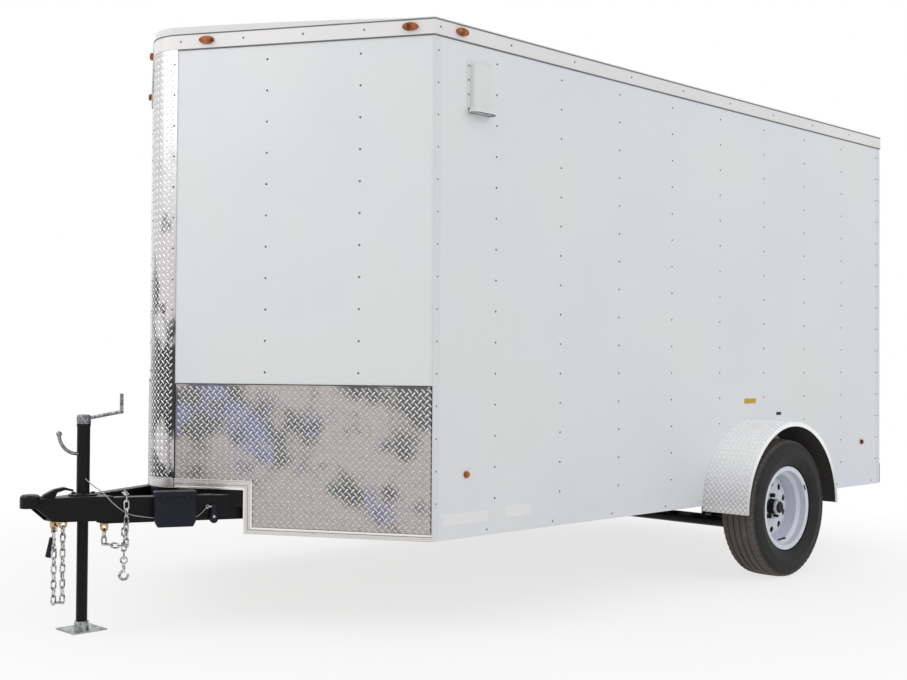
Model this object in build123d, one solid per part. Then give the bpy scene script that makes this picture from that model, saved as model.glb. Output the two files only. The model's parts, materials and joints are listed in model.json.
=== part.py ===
"""V-nose cargo trailer: a hollow box body on a single spring axle, standing on its tongue jack.

Millimetres. +X is forward, +Y is the trailer's left, +Z is up. The origin is on the ground under
the middle of the overall length and width.
"""
from build123d import *
import os
from math import acos, asin, cos, pi, radians, sin, sqrt, tan

os.makedirs("parts", exist_ok=True)

# Box body
body_length = 3658.0        # straight side, rear edge to nose corner
body_half_width = 1041.0
skirt_low = 368.0           # lower edge of the side skins
floor_top = 544.0
floor_thickness = 19.0
band_high = 2416.0          # upper edge of the white roof trim band
band_height = 63.0
band_thickness = 4.0
drip_edge = 5.0             # lip along the band's lower edge
roof_thickness = 25.0       # at the eaves
roof_crown = 30.0           # rise of the roof's middle above its eaves
wall_thickness = 38.0       # skin, studs and lining together
skin_thickness = 3.0
nose_sweep = 30.5           # degrees that each nose panel leans back from straight across
nose_radius = 178.0         # round of the nose cap
cap_proud = 3.0

# Nose cladding
guard_height = 604.0        # stone guard above the skirt's lower edge
guard_thickness = 2.5
guard_gap = 0.3             # room at the guard's edge beside the nose cap
notch_room = 71.0           # along the nose panel, from the tongue rail to the edge of its notch
trim_height = 40.0          # bright trim round the notch
sill_trim_height = 28.0     # bright trim along the guard's lower edge
trim_thickness = 2.0
bead = 5.0                  # rolled bead along the upper edge of the notch trim

# Chassis
rail_height = 102.0         # tongue rails
rail_width = 51.0
tongue_half_angle = 25.0
apex_setback = 102.0        # behind the coupler's tip, where the rails' outer faces would meet
rail_setback = 297.0        # behind the coupler's tip, where the rails end
main_rail_height = 152.0
main_rail_width = 51.0
member_size = 51.0          # floor cross members
member_pitch = 610.0
sill_depth = 51.0
sill_height = 112.0

# Ramp door at the rear
ramp_thickness = 45.0
ramp_proud = 8.0
ramp_gap = 6.0
post_width = 70.0
header_height = 80.0
lock_bar_radius = 11.0
lock_bar_standoff = 26.0    # bar centre behind the ramp's outer face
lock_reach = 54.0           # rearmost face of the lock handles, behind the ramp's outer face
lock_bar_inset = 150.0      # bar centre from the ramp's side edge

# Side door, on the right near the front
door_width = 762.0
door_head = 92.0            # opening's upper edge below the roof
door_setback = 420.0        # front edge of the opening, behind the nose corner
door_sill = 25.0            # opening's lower edge above the floor
door_gap = 6.0
frame_width = 40.0
frame_proud = 6.0
door_corner = 60.0          # radius of the opening's corners

# Hinges of both doors
knuckle_radius = 8.0
hinge_pin_radius = 4.0
hinge_play = 0.3
leaf_width = 35.0
leaf_thickness = 3.0
hinge_length = 120.0

# Running gear
tyre_radius = 344.5
tyre_width = 205.0
rim_flange_radius = 208.5
rim_half_width = 76.0
rim_seat_radius = 190.5
wheel_offset = 133.0        # middle of the tyre outboard of the side wall
axle_setback = 2268.0       # behind the nose corner
axle_drop = 102.0           # axle tube below the spindles
axle_tube_radius = 30.0
spindle_radius = 17.5
bearing_play = 0.3
stud_circle_radius = 57.15
stud_count = 5
spring_half_span = 320.0
spring_width = 45.0
leaf_count = 4
spring_leaf = 8.0
fender_radius = 434.0
fender_depth = 250.0
fender_sheet = 3.0
fender_lip = 22.0

# Coupler and jack
tongue_length = 592.5       # nose tip to the coupler's tip
coupler_length = 330.0
coupler_plate = 6.0
socket_radius = 25.8        # room for a 50.8 mm ball
socket_wall = 12.0
socket_low = 497.0
socket_ball_z = 514.0
jack_setback = 259.0        # jack's middle behind the coupler's tip
jack_tube_radius = 25.5
jack_tube_bore = 22.6
jack_leg_radius = 22.0
jack_tube_low = 440.0
jack_tube_high = 815.0
jack_cap_height = 36.0
jack_leg_top = 560.0
foot_side = 146.0
foot_thickness = 6.0
collar_height = 30.0

# Safety chains
chain_wire = 6.5
chain_pitch = 30.0          # clear length inside a link
chain_inner_width = 11.0
chain_play = 0.4

# Frame of reference: the coupler's tip and the lock handles are the two ends of the trailer.
lean = radians(nose_sweep)
fork = radians(tongue_half_angle)
nose_reach = body_half_width * tan(lean) + nose_radius * (1 - 1 / cos(lean))
coupler_reach = nose_reach + tongue_length
overall_length = coupler_reach + body_length + ramp_proud + lock_reach
tip_x = overall_length / 2
corner_x = tip_x - coupler_reach
rear_x = corner_x - body_length
band_low = band_high - band_height
frame_top = floor_top - floor_thickness
rail_low = frame_top - rail_height
main_low = frame_top - main_rail_height
roof_low = band_high - roof_thickness
guard_high = skirt_low + guard_height
axle_x = corner_x - axle_setback
axle_z = tyre_radius
apex_x = tip_x - apex_setback
jack_x = tip_x - jack_setback
rail_inner_y = body_half_width - skin_thickness - main_rail_width
wheel_y = body_half_width + wheel_offset


def block(x0, x1, y0, y1, z0, z1):
    """A box between two opposite corners."""
    return Pos((x0 + x1) / 2, (y0 + y1) / 2, (z0 + z1) / 2) * Box(x1 - x0, y1 - y0, z1 - z0)


def slab(outline, z0, z1):
    """A flat outline in plan raised from z0 to z1."""
    return Pos(0, 0, z0) * extrude(outline, z1 - z0, dir=(0, 0, 1))


def rod(start, end, radius):
    """A round bar between two points."""
    along = Vector(end) - Vector(start)
    upright = Plane(origin=start, z_dir=along)
    return upright * Cylinder(radius, along.length, align=(Align.CENTER, Align.CENTER, Align.MIN))


def turned(profile, middle, direction, arc=360.0):
    """A profile of (along, radius) points turned about an axis through middle along direction."""
    axis_dir = Vector(direction)
    side = Vector(1, 0, 0)
    plane = Plane(origin=middle, x_dir=axis_dir, z_dir=axis_dir.cross(side))
    return revolve(plane * make_face(Polyline(*profile, close=True)), Axis(middle, direction), arc)


def sweep_along(plane, path, radius):
    """A round rod along a flat path drawn on a plane."""
    line = plane * path
    return Part() + sweep(Plane(origin=line @ 0, z_dir=line % 0) * Circle(radius), path=line)


def right_of(shape):
    """The same piece on the trailer's right."""
    return mirror(shape, about=Plane.XZ)


def node(name, *shapes):
    """Writes one named piece of the trailer, of one solid or several that don't touch."""
    solids = [solid for shape in shapes for solid in shape.solids()]
    export_step(solids[0] if len(solids) == 1 else Compound(solids), f"parts/{name}.step")


# Plan of the body: straight sides, two leaning nose panels and a round cap on the centre line
cap_x = corner_x + body_half_width * tan(lean) - nose_radius / cos(lean)
panel_along = Vector(sin(lean), -cos(lean), 0)
panel_out = Vector(cos(lean), sin(lean), 0)
panel_length = (body_half_width - nose_radius * sin(lean)) / cos(lean)
rail_exit = (body_half_width - (apex_x - corner_x) * tan(fork)) / (cos(lean) - sin(lean) * tan(fork))
rail_exit_x = corner_x + rail_exit * sin(lean)    # where the tongue rails come out from under the nose
notch_start = rail_exit - notch_room


def corner_at(inset):
    """Where side and nose panel meet, on the outline that lies inset inside the skin."""
    return (corner_x - inset * (1 - sin(lean)) / cos(lean), body_half_width - inset)


def cap_edge_at(inset):
    """Where nose panel and cap meet on the same outline."""
    reach = nose_radius - inset
    return (cap_x + reach * cos(lean), reach * sin(lean))


def panel_point(along, inset=0.0):
    """A point of the left nose panel, measured along it from the corner."""
    spot = Vector(corner_x, body_half_width, 0) + panel_along * along - panel_out * inset
    return (spot.X, spot.Y)


def body_plan(inset, back):
    """The body's whole outline in plan, inset from the skin, closed straight across at back."""
    (cx, cy), (ex, ey) = corner_at(inset), cap_edge_at(inset)
    front = cap_x + nose_radius - inset
    left = Polyline((back, -cy), (back, cy), (cx, cy), (ex, ey))
    cap = ThreePointArc((ex, ey), (front, 0), (ex, -ey))
    right = Polyline((ex, -ey), (cx, -cy), (back, -cy))
    return make_face([*left.edges(), cap.edge(), *right.edges()])


def panel_plan(start, end, outer, inner):
    """A strip of the left nose panel between two distances along it and two insets."""
    near = corner_at(outer) if start == 0 else panel_point(start, outer)
    near_in = corner_at(inner) if start == 0 else panel_point(start, inner)
    return make_face(Polyline(near, panel_point(end, outer), panel_point(end, inner), near_in, close=True))


# Walls: each as thick as skin, stud and lining, with the outer skin alone hanging over the chassis
def side_wall():
    upper = make_face(Polyline((rear_x, body_half_width), corner_at(0), corner_at(wall_thickness),
                               (rear_x, body_half_width - wall_thickness), close=True))
    lower = make_face(Polyline((rear_x, body_half_width), corner_at(0), corner_at(skin_thickness),
                               (rear_x, body_half_width - skin_thickness), close=True))
    return slab(upper, floor_top, roof_low) + slab(lower, skirt_low, floor_top)


def nose_wall():
    upper = slab(panel_plan(0, panel_length, 0, wall_thickness), floor_top, roof_low)
    return upper + slab(panel_plan(0, notch_start, 0, skin_thickness), skirt_low, floor_top)


door_front = corner_x - door_setback
door_back = door_front - door_width
door_low = floor_top + door_sill
door_high = roof_low - door_head
door_height = door_high - door_low
door_middle = ((door_front + door_back) / 2, -body_half_width, (door_low + door_high) / 2)


def door_shape(grow, outer_y, inner_y):
    """The side door's rounded outline, grown all round, between two depths through the wall."""
    plane = Plane(origin=(door_middle[0], outer_y, door_middle[2]), x_dir=(1, 0, 0), z_dir=(0, -1, 0))
    outline = RectangleRounded(door_width + 2 * grow, door_height + 2 * grow, door_corner + grow)
    return extrude(plane * outline, inner_y - outer_y, dir=(0, 1, 0))


side_opening = door_shape(0, -body_half_width - 1, -body_half_width + wall_thickness + 1)
node("wall_left", side_wall())
node("wall_right", right_of(side_wall()) - side_opening)
node("nose_wall_left", nose_wall())
node("nose_wall_right", right_of(nose_wall()))

# Nose cap, a round tread-plate strip from the floor to the roof band
cap_inner, cap_outer = nose_radius - wall_thickness, nose_radius + cap_proud
cap_ring = Pos(cap_x, 0, 0) * (Circle(cap_outer) - Circle(cap_inner))
far = 3 * nose_radius
wedge = make_face(Polyline((cap_x, 0), (cap_x + far * cos(lean), far * sin(lean)),
                           (cap_x + far * cos(lean), -far * sin(lean)), close=True))
post_ring = Pos(cap_x, 0, 0) * (Circle(nose_radius) - Circle(cap_inner))
node("nose_cap", slab(cap_ring & wedge, floor_top, band_low) + slab(post_ring & wedge, band_low, roof_low))

# Stone guards over the lower nose, and the bright trim round their lower edge
guard_end = panel_length - guard_gap - cap_proud
guard = slab(panel_plan(0, guard_end, -guard_thickness, 0), floor_top, guard_high)
guard += slab(panel_plan(0, notch_start, -guard_thickness, 0), skirt_low, floor_top)
node("stone_guards", guard, right_of(guard))
trim_face = -guard_thickness - trim_thickness
trim_top = floor_top + trim_height
notch_trim = notch_start - trim_height
trim = slab(panel_plan(notch_trim, guard_end, trim_face, -guard_thickness), floor_top, trim_top)
trim += slab(panel_plan(notch_trim, guard_end, trim_face - trim_thickness, trim_face), trim_top - bead, trim_top)
trim += slab(panel_plan(notch_trim, notch_start, trim_face, -guard_thickness), skirt_low, floor_top)
trim += slab(panel_plan(0, notch_start, trim_face, -guard_thickness), skirt_low, skirt_low + sill_trim_height)


def cap_band(inner, outer):
    """A strip round the nose cap in plan, between two radii."""
    return (Pos(cap_x, 0, 0) * (Circle(outer) - Circle(inner))) & wedge


cap_trim = slab(cap_band(cap_outer, cap_outer + trim_thickness), floor_top, trim_top)
cap_trim += slab(cap_band(cap_outer, cap_outer + 2 * trim_thickness), trim_top - bead, trim_top)
node("bottom_trim", trim, right_of(trim), cap_trim)

# Roof, crowned across its width, and the trim band round its edge
left_eave, right_eave = (body_half_width, band_high), (-body_half_width, band_high)
crown = ThreePointArc(right_eave, (0, band_high + roof_crown), left_eave)
ceiling = Polyline(left_eave, (body_half_width, roof_low), (-body_half_width, roof_low), right_eave)
roof_section = make_face([crown.edge(), *ceiling.edges()])
roof_plane = Plane(origin=(rear_x, 0, 0), x_dir=(0, 1, 0), z_dir=(1, 0, 0))
roof_run = extrude(roof_plane * roof_section, cap_x + nose_radius - rear_x, dir=(1, 0, 0))
node("roof", roof_run & slab(body_plan(0, rear_x), roof_low, band_high + roof_crown))


def roof_ring(proud):
    """The band's outline in plan, standing that far proud of the walls."""
    return body_plan(-proud, rear_x - proud) - body_plan(0, rear_x)


node("roof_band", slab(roof_ring(band_thickness), band_low, band_high)
     + slab(roof_ring(band_thickness + drip_edge / 2), band_low, band_low + drip_edge))

# Floor and chassis
floor_back = rear_x + ramp_thickness
node("floor", slab(body_plan(wall_thickness, floor_back), frame_top, floor_top))


def rail_edge(x, inward=0.0):
    """The left tongue rail's outer face, or a line inward of it, at a station along the trailer."""
    return (apex_x - x) * tan(fork) - inward / cos(fork)


def rail_station(y, inward=0.0):
    """The station at which that line reaches a distance from the centre line."""
    return apex_x - (y + inward / cos(fork)) / tan(fork)


front_x = tip_x - rail_setback
tongue_plan = make_face(Polyline((front_x, rail_edge(front_x)), (rail_station(rail_inner_y), rail_inner_y),
                                 (rail_station(rail_inner_y, rail_width), rail_inner_y),
                                 (front_x, rail_edge(front_x, rail_width)), close=True))
tongue_left = slab(tongue_plan, rail_low, frame_top)
tongue_right = right_of(tongue_left)
node("tongue_rail_left", tongue_left)
node("tongue_rail_right", tongue_right)
main_front = corner_at(skin_thickness)[0] - skin_thickness
main_left = block(rear_x + sill_depth, main_front, rail_inner_y, rail_inner_y + main_rail_width, main_low, frame_top)
node("main_rail_left", main_left)
node("main_rail_right", right_of(main_left))
sill_back = rear_x - ramp_proud
hinge_z = main_low + sill_height + ramp_gap / 2
node("rear_sill", block(sill_back, rear_x, -body_half_width, body_half_width, main_low, main_low + sill_height)
     + block(rear_x, rear_x + sill_depth, -body_half_width + skin_thickness, body_half_width - skin_thickness,
             main_low, main_low + sill_height))

member_low = frame_top - member_size
member_stations = [rear_x + sill_depth + member_size / 2]
while member_stations[-1] + member_pitch < main_front:
    member_stations.append(member_stations[-1] + member_pitch)
member_half = member_size / 2
members = Part() + [block(x - member_half, x + member_half, -rail_inner_y, rail_inner_y, member_low, frame_top)
                    for x in member_stations]
nose_ring = slab(body_plan(skin_thickness, main_front) - body_plan(skin_thickness + member_size, main_front - 1),
                 member_low, frame_top)
members = members + nose_ring - tongue_left - tongue_right - main_left - right_of(main_left)
wall_plate = body_plan(skin_thickness, floor_back) - body_plan(wall_thickness, floor_back - 1)
members += slab(wall_plate, frame_top, floor_top)
node("cross_members", members)

# Rear frame round the ramp's opening
post_inner = body_half_width - wall_thickness - post_width
opening_high = roof_low - header_height
post = block(rear_x, rear_x + ramp_thickness, post_inner, post_inner + post_width, main_low + sill_height, roof_low)
header = block(rear_x, rear_x + ramp_thickness, -post_inner, post_inner, opening_high, roof_low)
rear_frame = post + right_of(post) + header


def hinge(axis, along, surface, count, spread):
    """Fixed and moving halves of a row of butt hinges.

    axis is the row's middle on the pin, along the pin's direction, surface the direction from the
    pin to the face that carries the leaves. The fixed leaf lies on the far side of along x surface.
    """
    pin_dir, inward = Vector(along), Vector(surface)
    fixed, moving = [], []
    middle, third = hinge_length / 2, hinge_length / 6
    for index in range(count):
        offset = (index - (count - 1) / 2) * spread
        plane = Plane(origin=Vector(axis) + pin_dir * offset, x_dir=pin_dir.cross(inward), z_dir=pin_dir)

        def piece(x0, x1, z0, z1):
            return block(x0, x1, -knuckle_radius, leaf_thickness - knuckle_radius, z0, z1)

        def knuckle(z0, z1, radius=knuckle_radius):
            return Pos(0, 0, (z0 + z1) / 2) * Cylinder(radius, z1 - z0)

        clear = knuckle_radius + 1
        ends = [(-middle, -third - hinge_play), (third + hinge_play, middle)]
        still = piece(clear, leaf_width, -middle, middle) + knuckle(-middle, middle, hinge_pin_radius)
        for z0, z1 in ends:
            still += knuckle(z0, z1) + piece(0, clear, z0, z1)
        swing = knuckle(-third, third) + piece(-clear, 0, -third, third) - knuckle(
            -third, third, hinge_pin_radius + hinge_play)
        swing += piece(-leaf_width, -clear, -middle, middle)
        fixed.append(plane * still)
        moving.append(plane * swing)
    return fixed, moving


# Ramp door, hinged along its lower edge, with two upright lock bars on its outer face
ramp_half = post_inner - ramp_gap
ramp_low = hinge_z + ramp_gap / 2
ramp_high = opening_high - ramp_gap
ramp_back = rear_x - ramp_proud
ramp_axis = (ramp_back - knuckle_radius, 0, hinge_z)
node("ramp_panel", block(ramp_back, ramp_back + ramp_thickness, -ramp_half, ramp_half, ramp_low, ramp_high))
ramp_hinge_count, ramp_hinge_inset = 5, 127.0
ramp_hinge_pitch = 2 * (ramp_half - ramp_hinge_inset) / (ramp_hinge_count - 1)
ramp_hinges, ramp_leaves = hinge(ramp_axis, (0, 1, 0), (1, 0, 0), ramp_hinge_count, ramp_hinge_pitch)

bar_x = ramp_back - lock_bar_standoff
bar_y = ramp_half - lock_bar_inset
guide_height, guide_half, guide_wall = 60.0, 22.0, 4.0
bar_foot, lowest_guide, highest_guide = 40.0, 90.0, 160.0    # from the ramp's lower and upper edges
handle_z = ramp_low + 0.4 * (ramp_high - ramp_low)
handle_length, handle_width, handle_room = 300.0, 30.0, 150.0
hasp_length, hasp_height = 50.0, 50.0
keeper_gap, keeper_depth, keeper_height = 6.0, 20.0, 38.0


def lock_bar():
    bar = rod((bar_x, bar_y, ramp_low + bar_foot), (bar_x, bar_y, ramp_high - keeper_gap), lock_bar_radius)
    guides = (ramp_low + lowest_guide, handle_z - handle_room, handle_z + handle_room, ramp_high - highest_guide)
    for z in guides:
        bar += block(bar_x - lock_bar_radius - guide_wall, ramp_back, bar_y - guide_half, bar_y + guide_half,
                     z - guide_height / 2, z + guide_height / 2)
    handle_end = bar_y - handle_length
    handle = block(ramp_back - lock_reach, bar_x, handle_end, bar_y + handle_width / 2,
                   handle_z - handle_width / 2, handle_z + handle_width / 2)
    hasp = block(bar_x, ramp_back, handle_end, handle_end + hasp_length,
                 handle_z - hasp_height / 2, handle_z + hasp_height / 2)
    return bar + handle + hasp


node("ramp_hardware", lock_bar(), right_of(lock_bar()), *ramp_leaves)
keeper = block(bar_x - keeper_depth, rear_x, bar_y - guide_half, bar_y + guide_half,
               opening_high, opening_high + keeper_height)
node("rear_frame", rear_frame + keeper + right_of(keeper))

# Side door with its trim frame, hinges and flush latch
frame_face = -body_half_width - frame_proud
ring = door_shape(frame_width, frame_face, -body_half_width) - door_shape(0, frame_face, -body_half_width)
node("side_door_frame", ring)
node("side_door_panel", door_shape(-door_gap, frame_face, frame_face + wall_thickness))
door_axis = (door_front - door_gap / 2, frame_face - knuckle_radius, door_middle[2])
door_hinge_count, door_hinge_inset = 3, 265.0
door_hinge_pitch = (door_height - 2 * door_hinge_inset) / (door_hinge_count - 1)
door_hinges, door_leaves = hinge(door_axis, (0, 0, -1), (0, 1, 0), door_hinge_count, door_hinge_pitch)
node("door_hinges", *ramp_hinges, *door_hinges)
latch_inset, latch_height = 90.0, 850.0
plate_half, plate_half_height, plate_thickness = 35.0, 60.0, 10.0
grip_half, grip_thickness, grip_tail, grip_reach, grip_standoff, stem_radius = 12.0, 12.0, 10.0, 60.0, 26.0, 10.0
latch_x = door_back + latch_inset
latch_z = floor_top + latch_height
plate_face, grip_back = frame_face - plate_thickness, frame_face - grip_standoff
latch = block(latch_x - plate_half, latch_x + plate_half, plate_face, frame_face,
              latch_z - plate_half_height, latch_z + plate_half_height)
latch += block(latch_x - grip_tail, latch_x + grip_reach, grip_back - grip_thickness, grip_back,
               latch_z - grip_half, latch_z + grip_half)
latch += rod((latch_x, grip_back, latch_z), (latch_x, plate_face, latch_z), stem_radius)
node("side_door_hardware", latch, *door_leaves)

# Lamps: oval ambers on the band, small round side markers, red rear lamps
lamp_length, lamp_height, lamp_depth, lens_bevel = 65.0, 32.0, 18.0, 5.0
band_middle = (band_low + band_high) / 2


def oval_lamp(x, y, z, facing, along):
    plane = Plane(origin=(x, y, z), x_dir=along, z_dir=facing)
    lens = extrude(plane * SlotOverall(lamp_length, lamp_height), lamp_depth)
    return chamfer(lens.faces().sort_by(Axis(plane.origin, plane.z_dir))[-1].edges(), lens_bevel)


corner_lamp_inset, cap_lamp_inset, side_lamp_setback = 98.0, 131.4, 145.0
nose_lamp_stations = (corner_lamp_inset, panel_length - cap_lamp_inset)
ambers = []
for along in nose_lamp_stations:
    x, y = panel_point(along, -band_thickness)
    ambers.append(oval_lamp(x, y, band_middle, panel_out, panel_along))
ambers.append(oval_lamp(corner_x - side_lamp_setback, body_half_width + band_thickness, band_middle,
                        (0, 1, 0), (-1, 0, 0)))
marker_z, marker_radius, marker_depth = 620.0, 14.0, 12.0
amber_setback, red_inset = 189.0, 221.0


def side_marker(x):
    return rod((x, body_half_width, marker_z), (x, body_half_width + marker_depth, marker_z), marker_radius)


ambers.append(side_marker(corner_x - amber_setback))
node("amber_lamps", *ambers, *[right_of(lamp) for lamp in ambers])
cluster_pitch, edge_lamp_inset = 180.0, 101.0
edge_lamp_y = body_half_width - edge_lamp_inset
rear_lamp_ys = (-cluster_pitch, 0.0, cluster_pitch, -edge_lamp_y, edge_lamp_y)
reds = [oval_lamp(rear_x - band_thickness, y, band_middle, (-1, 0, 0), (0, 1, 0)) for y in rear_lamp_ys]
reds += [side_marker(rear_x + red_inset), right_of(side_marker(rear_x + red_inset))]
node("red_lamps", *reds)
tail_length, tail_width, tail_depth, tail_z = 165.0, 50.0, 22.0, 900.0


def tail_lamp():
    plane = Plane(origin=(rear_x, post_inner + post_width / 2, tail_z), x_dir=(0, 0, 1), z_dir=(-1, 0, 0))
    lens = extrude(plane * SlotOverall(tail_length, tail_width), tail_depth)
    return chamfer(lens.faces().sort_by(Axis.X)[0].edges(), lens_bevel)


node("tail_lamps", tail_lamp(), right_of(tail_lamp()))

# Side vents: hoods on the walls, open below
vent_front, vent_rear, vent_drop = 197.0, 300.0, 83.0    # from the corner, the rear edge, the band
vent_length, vent_height, vent_depth, vent_wall = 105.0, 190.0, 28.0, 4.0
flange_margin, flange_thickness, flange_corner = 16.0, 3.0, 12.0
mouth_length, mouth_depth, mouth_height, throat_height = 135.0, 44.0, 22.0, 90.0
vent_low = band_low - vent_drop - vent_height


def vent(x1):
    """A flanged hood with an oval mouth at its foot that faces down."""
    middle = x1 - vent_length / 2
    y0 = body_half_width
    hood = block(x1 - vent_length, x1, y0, y0 + vent_depth, vent_low, vent_low + vent_height)
    hood = fillet(hood.edges().group_by(Axis.Y)[-1], vent_depth / 2)
    wall_plane = Plane(origin=(middle, y0, vent_low + vent_height / 2), x_dir=(1, 0, 0), z_dir=(0, 1, 0))
    flange_plate = RectangleRounded(vent_length + 2 * flange_margin, vent_height + 2 * flange_margin, flange_corner)
    hood += extrude(wall_plane * flange_plate, flange_thickness, dir=(0, 1, 0))

    def oval(inset, z0, z1):
        outline = SlotOverall(mouth_length - 2 * inset, mouth_depth - 2 * inset)
        return slab(Pos(middle, y0 + mouth_depth / 2, 0) * outline, z0, z1)

    hood += oval(0, vent_low - mouth_height / 2, vent_low + mouth_height / 2)
    throat = block(x1 - vent_length + 3 * vent_wall, x1 - 3 * vent_wall,
                   y0 + vent_wall, y0 + vent_depth - vent_wall, vent_low, vent_low + throat_height)
    return hood - oval(vent_wall, vent_low - mouth_height / 2 - 1, vent_low) - throat


node("side_vents", vent(corner_x - vent_front), right_of(vent(rear_x + vent_rear + vent_length)))

# Fenders: half-round tread plate with a turned-down outer lip
def fender():
    outer_y = body_half_width + fender_depth
    inside, lip = fender_radius - fender_sheet, fender_radius - fender_lip
    plane = Plane(origin=(axle_x, 0, axle_z), x_dir=(0, 1, 0), z_dir=(0, 0, -1))
    section = make_face(Polyline((body_half_width, inside), (body_half_width, fender_radius), (outer_y, fender_radius),
                                 (outer_y, lip), (outer_y - fender_sheet, lip), (outer_y - fender_sheet, inside),
                                 close=True))
    return revolve(plane * section, Axis((axle_x, 0, axle_z), (0, -1, 0)), 180)


node("fender_left", fender())
node("fender_right", right_of(fender()))

# Axle: a dropped tube, end plates that carry the spindles, and the brakes' backing plates
spring_y = rail_inner_y + main_rail_width / 2 - 5
beam_z = axle_z - axle_drop
arm_inner = spring_y + spring_width / 2 + 12
arm_thickness = 20.0
arm_outer = arm_inner + arm_thickness
backing_radius, backing_thickness = 132.0, 5.0
hub_face = -22.0            # wheel's mounting face, from the tyre's middle
spindle_end = wheel_y + 28.0
axle = rod((axle_x, -arm_outer, beam_z), (axle_x, arm_outer, beam_z), axle_tube_radius)
for side in (-1, 1):
    y0, y1 = side * arm_inner, side * arm_outer
    plane = Plane(origin=(axle_x, min(y0, y1), (beam_z + axle_z) / 2), x_dir=(0, 0, 1), z_dir=(0, 1, 0))
    axle += extrude(plane * SlotCenterToCenter(axle_drop, 80), arm_thickness)
    axle += rod((axle_x, y1, axle_z), (axle_x, side * spindle_end, axle_z), spindle_radius)
    axle += rod((axle_x, y1, axle_z), (axle_x, y1 + side * backing_thickness, axle_z), backing_radius)
node("axle", axle)


# Leaf springs: arched leaves of falling length over the axle tube, with eyes at the ends of the top leaf
spring_low = beam_z + axle_tube_radius + 6
spring_rise = 22.0
eye_radius = 18.0
eye_bore = 8.0
leaf_share = (1.0, 0.8, 0.58, 0.36)   # half span of each leaf from the top, as a share of the longest


def leaf_spring():
    top_inside = spring_low + leaf_count * spring_leaf
    radius = (spring_half_span ** 2 + spring_rise ** 2) / (2 * spring_rise)
    middle = (axle_x, spring_y - spring_width / 2, top_inside + radius)
    plane = Plane(origin=middle, x_dir=(1, 0, 0), z_dir=(0, -1, 0))
    leaves = Part()
    for index, share in enumerate(leaf_share):
        inner, outer = radius + index * spring_leaf, radius + (index + 1) * spring_leaf
        turn = asin(share * spring_half_span / radius)
        span = [(r * sin(a), -r * cos(a)) for r, a in ((inner, -turn), (inner, turn), (outer, turn), (outer, -turn))]
        edges = [ThreePointArc(span[0], (0, -inner), span[1]).edge(), Line(span[1], span[2]).edge(),
                 ThreePointArc(span[2], (0, -outer), span[3]).edge(), Line(span[3], span[0]).edge()]
        leaves += extrude(plane * make_face(edges), -spring_width)
    eye_z = top_inside + spring_rise
    for x in (axle_x - spring_half_span, axle_x + spring_half_span):
        leaves += rod((x, spring_y - spring_width / 2, eye_z), (x, spring_y + spring_width / 2, eye_z), eye_radius)
        leaves -= rod((x, spring_y - spring_width, eye_z), (x, spring_y + spring_width, eye_z), eye_bore)
    return leaves, eye_z


spring, eye_z = leaf_spring()
node("leaf_springs", spring, right_of(spring))
hanger_plate, hanger_length, hanger_play = 6.0, 60.0, 0.3


def hangers():
    pieces = []
    for x in (axle_x - spring_half_span, axle_x + spring_half_span):
        half = spring_width / 2 + hanger_play
        piece = rod((x, spring_y - half - hanger_plate, eye_z), (x, spring_y + half + hanger_plate, eye_z),
                    eye_bore - hanger_play)
        for y0 in (spring_y - half - hanger_plate, spring_y + half):
            piece += block(x - hanger_length / 2, x + hanger_length / 2, y0, y0 + hanger_plate,
                           eye_z - eye_radius, main_low)
        pieces.append(piece)
    return pieces


pieces = hangers()
node("spring_hangers", *pieces, *[right_of(piece) for piece in pieces])


u_bolt, u_bolt_play, clamp_half, clamp_plate = 4.5, 0.3, 60.0, 8.0


def spring_clamp():
    """Seat under one spring, and the top plate with two U-bolts that tie spring and axle tube together."""
    half = spring_width / 2
    seat = block(axle_x - clamp_half, axle_x + clamp_half, spring_y - half, spring_y + half,
                 beam_z + axle_tube_radius - 8, spring_low)
    seat -= rod((axle_x, 0, beam_z), (axle_x, 2 * body_half_width, beam_z), axle_tube_radius)
    plate_low = spring_low + leaf_count * spring_leaf + 0.8
    bolt_y = half + u_bolt + 1.5
    clamp = block(axle_x - clamp_half, axle_x + clamp_half, spring_y - bolt_y - u_bolt, spring_y + bolt_y + u_bolt,
                  plate_low, plate_low + clamp_plate)
    bend = axle_tube_radius + u_bolt + u_bolt_play
    for y in (spring_y - bolt_y, spring_y + bolt_y):
        plane = Plane(origin=(axle_x, y, beam_z), x_dir=(1, 0, 0), z_dir=(0, -1, 0))
        clamp += sweep_along(plane, ThreePointArc((-bend, 0), (0, -bend), (bend, 0)), u_bolt)
        for x in (axle_x - bend, axle_x + bend):
            clamp += rod((x, y, beam_z), (x, y, plate_low + 2 * clamp_plate), u_bolt)
    return seat, clamp


node("spring_seats", *spring_clamp(), *[right_of(piece) for piece in spring_clamp()])


# Wheels: tyre, pressed steel rim with round holes, and a brake drum with hub, nuts and cap
tyre_bead_inset, tyre_seat_play, heel_rise = 8.6, 0.5, 4.0
widest_drop, shoulder_drop, crown_drop = 80.0, 12.0, 2.0        # below the tread's middle
flank_inset, shoulder_inset, tread_inset = 8.0, 12.0, 26.0      # inside the tyre's widest


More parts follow.
